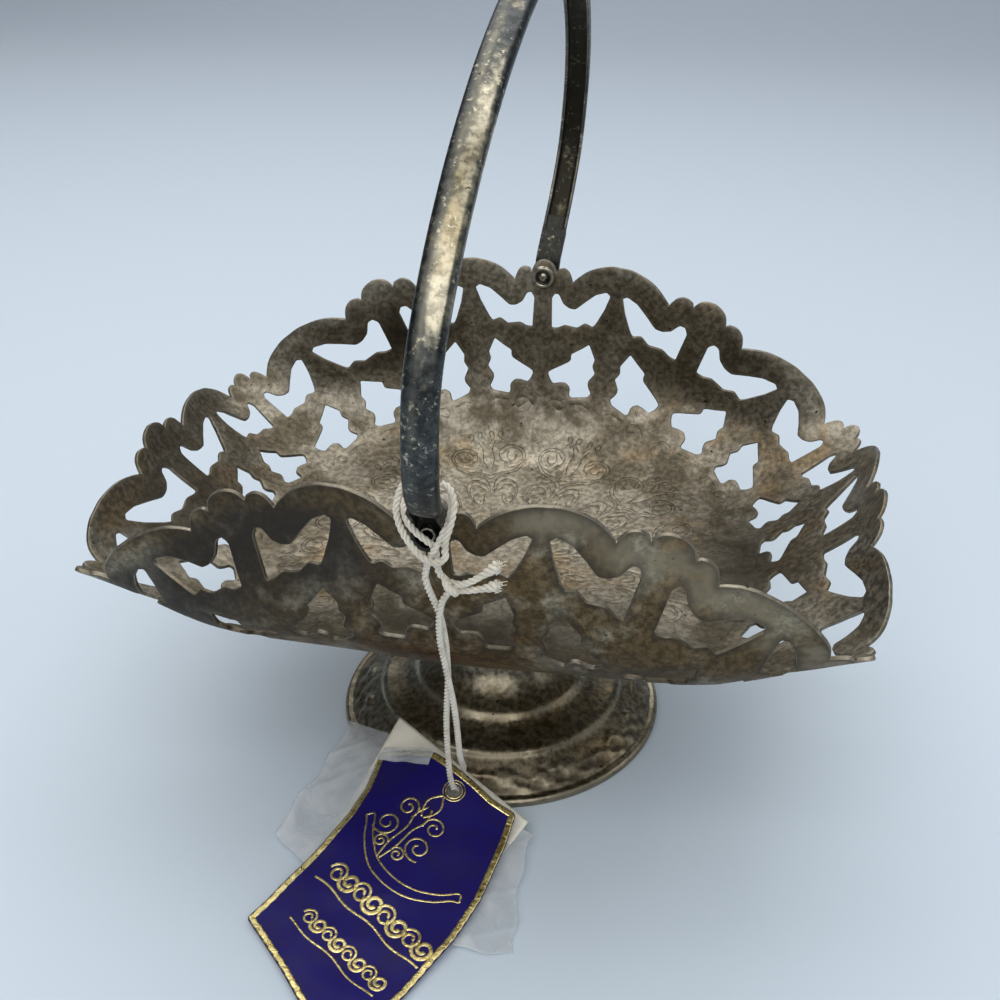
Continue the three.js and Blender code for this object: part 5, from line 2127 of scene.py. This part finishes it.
    def ornament(self) -> list[tuple[np.ndarray, float]]:
        """Draws a fleuron over a garland and two rows of running scrolls.

        Returns:
            Each line, as [along the print, down from the hole], with its width.
        """
        lines = []
        turn = np.linspace(0.0, 1.5 * 2 * math.pi, 50)
        for mirror in (-1, 1):
            fitted = np.array(self.print_stretch) * [mirror, 1]
            for x, y, size, start in self.curls:
                radius = size * (1 - 0.8 * turn / turn[-1])
                angle = turn + start
                curl = np.stack([x + radius * np.cos(angle), y + radius * np.sin(angle)], axis=1)
                lines.append((spaced(curl * fitted, 0.4) + self.print_shift, 0.6))
            for stem in self.stems:
                lines.append((flowing(np.array(stem) * fitted, 0.4) + self.print_shift, 0.6))
        for offset in (0.0, 3.1):
            garland = [
                [-14.5, 20.5], [-12.5, 19.0 + offset], [-8.0, 23.5 + offset], [-1.0, 27.8 + offset],
                [7.0, 29.0 + offset], [14.0, 27.6 + offset], [20.0, 23.6 + offset], [23.5, 19.6 + offset],
                [25.5, 21.5],
            ]
            lines.append((flowing(garland, 0.45), 0.55))
        for first, y, pitch, size, width in self.scroll_rows:
            radius = size * (1 - 0.75 * turn / turn[-1])
            for k in range(self.scrolls_in_row):
                x = first + k * pitch
                scroll = np.stack([x - radius * np.cos(turn), y - radius * np.sin(turn) * (-1) ** k], axis=1)
                lines.append((spaced(scroll, 0.4), width * (0.7 + 0.3 * (k % 2))))
            sweep = np.linspace(first - 4.0, first + self.scrolls_in_row * pitch - 2.0, 60)
            under = np.stack([sweep, y + size + 1.6 + 0.5 * np.sin(sweep * 0.35)], axis=1)
            lines.append((spaced(under, 0.5), width * 0.6))
        return lines

    def torn_film(self) -> Surface:
        """Makes the torn film under the pile, and its fold over the card's upper edge.

        Returns:
            Both sheets. The film is saw-toothed along its upper edge and waved along the others,
            and the fold is a low arch over the card.
        """
        a, b, _, d = (np.array(corner, float) for corner in self.film)
        columns, rows = 150, 70
        s, t = unit_grid(rows, columns)
        flat = bilinear(self.film, s, t)
        inward, across = unit(d - a), unit(b - a)
        teeth = 0.6 * (2 * np.abs((s * 46) % 1 - 0.5)) * np.exp(-((t / 0.02) ** 2))
        lower = (1.2 * np.sin(s * 17) + 0.6 * np.sin(s * 41 + 1) - 5.0 * (2 * s - 1) ** 4) * t**5
        side = (1.6 * np.sin(t * 5.1 + 0.4) + 0.7 * np.sin(t * 17))
        side = side * (np.exp(-s / 0.08) - np.exp((s - 1) / 0.08))
        flat = flat + inward * (teeth + lower) + across * side
        lifted = np.column_stack([flat, self.film_height(flat)])
        film = self.sheet(lifted, rows, columns, self.film_thickness)
        columns, rows = 40, 14
        s, t = unit_grid(rows, columns)
        start, end = np.array(self.fold)
        flat = (1 - s) * start + s * end + np.array([0.25, 1.0]) * (4.4 - 1.4 * s - 4.8 * t)
        over = 0.55 + 1.2 * np.sin(math.pi * t) ** 0.7 * (0.6 + 0.4 * np.sin(s * 9))
        over = over + 0.16 * np.sin(s * 14 + t * 19)
        fold = np.column_stack([flat, self.card_height(flat) + over[:, 0]])
        return film.joined(self.sheet(fold, rows, columns, self.fold_thickness))


@dataclass
class TwistedString:
    """Cotton string of three plies about a line."""

    diameter: float = 1.68
    plies: int = 3
    pitch: float = 4.6
    sides: int = 9
    step: float = 0.4
    orbit_share: float = 0.235
    ply_share: float = 0.285

    def tube(self, line: np.ndarray, side: np.ndarray, flare: np.ndarray | None = None) -> Surface:
        """Plies laid round a line.

        Args:
            line: The line's points, at an equal spacing.
            side: A direction that the line never takes.
            flare: How much wider it is at each point, or None.

        Returns:
            Each ply is a tube about half of the way out, turning once in every pitch.
        """
        along = unit(np.gradient(line, axis=0))
        first = unit(side - (along @ side)[:, None] * along)
        second = np.cross(along, first)
        lengths = lengths_along(line)
        wide = np.ones(len(line)) if flare is None else flare
        section = bearings(self.sides)[:, ::-1] * (self.diameter * self.ply_share) * wide[:, None, None]
        plies = []
        for ply in range(self.plies):
            turn = 2 * math.pi * (lengths / self.pitch + ply / self.plies)
            out = first * np.cos(turn)[:, None] + second * np.sin(turn)[:, None]
            centre = line + out * (self.diameter * self.orbit_share * wide)[:, None]
            made = swept(section, centre, first, second)
            reach = np.linalg.norm(made.points[:-2].reshape(len(line), self.sides, 3) - line[:, None], axis=2)
            # Painted shade where each ply turns in towards the others.
            ply_shade = 1 - smooth_step(0.45, 0.85, reach / (self.diameter / 2 * wide[:, None]))
            made.masks = {"recess_and_shade": np.append(ply_shade.ravel(), [0.0, 0.0])}
            plies.append(made)
        return reduce(Surface.joined, plies)


@dataclass
class TagString:
    """The tag's string: its hitch on the near leg, its two hanging strands, its knot and its two tails."""

    yarn: TwistedString = field(default_factory=TwistedString)
    declared: float = 1.8
    bight: tuple = (
        (0.5, -78.6, 127.6), (-3.2, -78.4, 127.8), (-5.8, -79.2, 126.8), (-7.2, -80.3, 124.4),
        (-7.4, -82.4, 121.0), (-6.0, -84.3, 117.6), (-3.2, -86.4, 114.7), (-0.4, -88.0, 112.9),
        (2.0, -88.6, 112.2), (4.0, -88.3, 112.3), (5.0, -87.8, 113.3), (4.9, -87.3, 115.0),
        (5.1, -86.9, 117.6), (5.9, -85.6, 120.6), (6.2, -83.4, 123.2), (5.6, -81.0, 125.0),
        (4.2, -79.0, 126.2), (2.4, -78.2, 126.8),
    )
    inner: tuple = (
        (2.0, -78.8, 124.9), (-2.0, -78.6, 125.2), (-4.6, -79.4, 124.6), (-5.7, -81.6, 122.6),
        (-4.5, -84.6, 120.3), (-2.2, -85.9, 118.2), (0.2, -86.2, 116.4), (2.0, -85.9, 114.6),
        (2.3, -85.4, 112.6), (2.2, -85.0, 110.0), (2.5, -84.7, 107.4), (3.2, -84.3, 105.6),
        (4.1, -84.1, 104.7),
    )
    outer: tuple = (
        (1.0, -78.3, 123.0), (3.8, -78.9, 123.4), (5.2, -81.0, 122.8), (5.3, -83.4, 121.4),
        (4.6, -85.6, 119.2), (3.5, -86.9, 116.8), (2.3, -87.2, 114.4), (1.1, -86.7, 112.2),
        (0.2, -85.7, 109.6), (-0.4, -85.1, 106.8), (-0.7, -84.8, 105.4),
    )
    left: tuple = (
        (-0.7, -84.8, 105.2), (-0.3, -84.1, 102), (0.3, -82.6, 98), (1.3, -79.9, 91), (1.5, -76.9, 82.3),
        (1.2, -74.3, 74), (0.8, -72.3, 66), (-0.1, -70.4, 58), (-1.3, -67.4, 47), (-2.1, -64.2, 35),
        (-2.6, -61.2, 24), (-2.6, -59.4, 18), (-2.3, -58, 14.2),
    )
    right: tuple = (
        (5.0, -84.2, 102.2), (4.2, -83.8, 100.4), (2.6, -83, 97), (1.4, -81.4, 91), (0.7, -78.6, 82.5),
        (0.9, -75.8, 73.7), (1.3, -73.3, 65), (1.6, -70.6, 56), (1.5, -67.6, 46.4), (1.0, -64.2, 37),
        (0.4, -60.2, 28.5), (-0.3, -54.9, 21), (-0.9, -51.2, 16.6), (-1.3, -50.4, 13.6), (-1.7, -52.2, 11.7),
        (-2.2, -55.5, 10.9),
    )
    knot: tuple = (5.6, -84.9, 103.4)
    knot_radii: tuple[float, float] = (1.05, 1.15)
    knot_half: float = 1.7
    loose_fibres: int = 44
    tails: tuple = (
        (
            (6.6, -85.2, 104.4), (8.4, -85.4, 104.8), (10.6, -85.3, 105.9), (13.4, -85.2, 108.0),
            (16.4, -85, 110.6),
        ),
        (
            (6.6, -84.9, 102.8), (8.6, -84.8, 102.6), (11, -84.6, 103), (13.6, -84.3, 103.6),
            (16.2, -84.1, 104.6),
        ),
    )

    def strand(self, name: str, route: tuple, side: tuple, cotton: bpy.types.Material, body: Body,
               *nodes: str) -> None:
        """Args:
            name: The piece's name.
            route: The points that it passes through.
            side: A direction that the route never takes.
            cotton: Its material.
            body: The body it moves with.
            nodes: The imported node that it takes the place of.
        """
        line = flowing(route, self.yarn.step)
        surface = self.yarn.tube(line, np.array(side, float))
        piece = place_closed(surface, name, cotton, body, "string", *nodes)

    def build(self, cotton: bpy.types.Material) -> None:
        """Makes every stretch of the string.

        Args:
            cotton: Its material.
        """
        self.strand("string_hitch_bight", self.bight, (0.1, 1, 0.2), cotton, Body.HANDLE, "string_hitch")
        self.strand("string_hitch_inner", self.inner, (0.2, 1, 0.1), cotton, Body.HANDLE)
        self.strand("string_hitch_outer", self.outer, (0.2, 1, 0.1), cotton, Body.HANDLE)
        self.strand("string_left_strand", self.left, (1, 0, 0), cotton, Body.BASKET, "string_left")
        self.strand("string_right_strand", self.right, (1, 0, 0), cotton, Body.BASKET, "string_right")
        self.knot_piece(cotton)
        names = (("string_upper_tail", "string_tail_upper"), ("string_lower_tail", "string_tail_lower"))
        for (name, node), route in zip(names, self.tails, strict=True):
            line = flowing(route, self.yarn.step)
            flare = 1 + 0.75 * smooth_step(0.55, 1.0, np.linspace(0.0, 1.0, len(line)))
            surface = self.yarn.tube(line, np.array([0.0, 1.0, 0.0]), flare)
            surface = surface.joined(self.frayed(line, self.loose_fibres))
            place_closed(surface, name, cotton, Body.BASKET, "string", node)

    def frayed(self, line: np.ndarray, count: int) -> Surface:
        """Makes the loose fibres that stand out of a tail's end.

        Args:
            line: The tail's line.
            count: How many fibres it has.

        Returns:
            Thin tubes along start + reach t along + reach t^2 spread, with start, reach and spread
            drawn at random for each.
        """
        rng = np.random.default_rng(11 + count)
        along = unit(line[-1] - line[-4])
        side = np.cross(along, [0.0, 1.0, 0.0])
        t = np.linspace(0, 1, 6)[:, None]
        section = bearings(4)[:, ::-1] * (0.17 - 0.09 * t[:, :, None])
        fibres = []
        for _ in range(count):
            spread = rng.normal(0, 0.16, 3)
            start = line[-4] + rng.normal(0, 0.5, 3)
            reach = rng.uniform(1.3, 2.0)
            path = start + along * reach * t + spread * reach * t**2
            fibres.append(swept(section, path, np.tile(side, (6, 1)), np.tile(np.cross(side, along), (6, 1))))
        return reduce(Surface.joined, fibres)

    def knot_piece(self, cotton: bpy.types.Material) -> None:
        """Makes an overhand knot: the string wound twice round itself, and once across.

        Args:
            cotton: Its material.
        """
        turn = np.linspace(0.0, 3.6 * math.pi, 90)
        x, y, z = self.knot
        wide, deep = self.knot_radii
        rise = np.linspace(-self.knot_half, self.knot_half, 90) + 0.5 * np.sin(turn * 0.5)
        line = np.stack([x + wide * np.cos(turn), y + deep * np.sin(turn), z + rise], axis=1)
        surface = self.yarn.tube(spaced(line, self.yarn.step), np.array([0.0, 0.2, 1.0]))
        cross = np.array([
            [4.1, -84.1, 104.7], [4.4, -85.9, 104.9], [5.6, -87.0, 104.0], [6.7, -86.3, 102.6],
            [6.2, -85.0, 101.7], [5.0, -84.2, 102.2],
        ])
        surface = surface.joined(self.yarn.tube(flowing(cross, self.yarn.step), np.array([1.0, 0.2, 0.3])))
        place_closed(surface, "string_overhand_knot", cotton, Body.BASKET, "string", "string_knot")


# Finishes

DISH_PLATE = PlateFinish(
    "dish_plate", (0.42, 0.38, 0.3), (0.36, 0.275, 0.17), (0.21, 0.18, 0.127), (0.035, 0.03, 0.022),
    0.5, 0.36,
)
DISH_OUTSIDE = PlateFinish(
    "dish_outside", (0.31, 0.265, 0.185), (0.2, 0.122, 0.05), (0.125, 0.088, 0.046), (0.046, 0.046, 0.047),
    0.54, 0.36,
)
FOOT_PLATE = PlateFinish(
    "foot_plate", (0.31, 0.275, 0.2), (0.26, 0.2, 0.115), (0.2, 0.17, 0.117), (0.035, 0.028, 0.018),
    0.5, 0.32, bump=0.04,
)
HANDLE_PLATE = PlateFinish(
    "handle_plate", (0.42, 0.385, 0.29), (0.32, 0.27, 0.17), (0.062, 0.068, 0.068), (0.04, 0.032, 0.018),
    0.6, 0.3, bare=0.8,
)
RIVET_PLATE = PlateFinish(
    "rivet_plate", (0.42, 0.4, 0.33), (0.35, 0.28, 0.18), (0.15, 0.13, 0.1), (0.01, 0.009, 0.008), 0.45, 0.3,
)
NAVY_PRINT = PaperFinish("navy_print", (0.008, 0.004, 0.12), (0.01, 0.005, 0.09), 0.4, 0.06, 0.1, 0.25)
CREAM_CARD = PaperFinish("cream_card", (0.99, 0.95, 0.83), (0.93, 0.88, 0.74), 0.75, 0.0, 0.4)
RIVET_HEAD = 3.4


def colour_settings() -> None:
    """Shows colours about as they are written."""
    bpy.context.scene.view_settings.view_transform = "Standard"


def main() -> None:
    """Builds the studio and every piece in order."""
    logging.basicConfig(level=logging.INFO, format="%(message)s")
    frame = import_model()
    log.info("frame with %d nodes", len(frame["nodes"]))
    colour_settings()
    studio = Studio()
    studio.camera()
    TagString().build(CottonFinish().material())
    studio.stage()
    studio.light()
    worn = tarnish_group()
    dish = PiercedDish()
    dish.build(DISH_PLATE.material(worn, DISH_OUTSIDE))
    PedestalFoot().build(FOOT_PLATE.material(worn))
    SwingHandle().build(HANDLE_PLATE.material(worn))
    tab = np.array([[0.0, dish.form.bead_circle]])
    normal = dish.form.normal(tab)[0]
    offset = float(dish.form.middle(tab)[0, 1])
    rivet = RIVET_PLATE.material(worn)
    lean = RIVET_HEAD * abs(normal[2] / normal[1])
    for name, node, side in (("far_rivet", "rivet_far", 1), ("near_rivet", "rivet_near", -1)):
        TubularRivet(offset, lean, side).build(rivet, name, node)
    card, leaf = NAVY_PRINT.material(), CREAM_CARD.material()
    HangTag().build(card, leaf, FoilFinish().material(), FilmFinish().material())


if __name__ == "__main__":
    main()
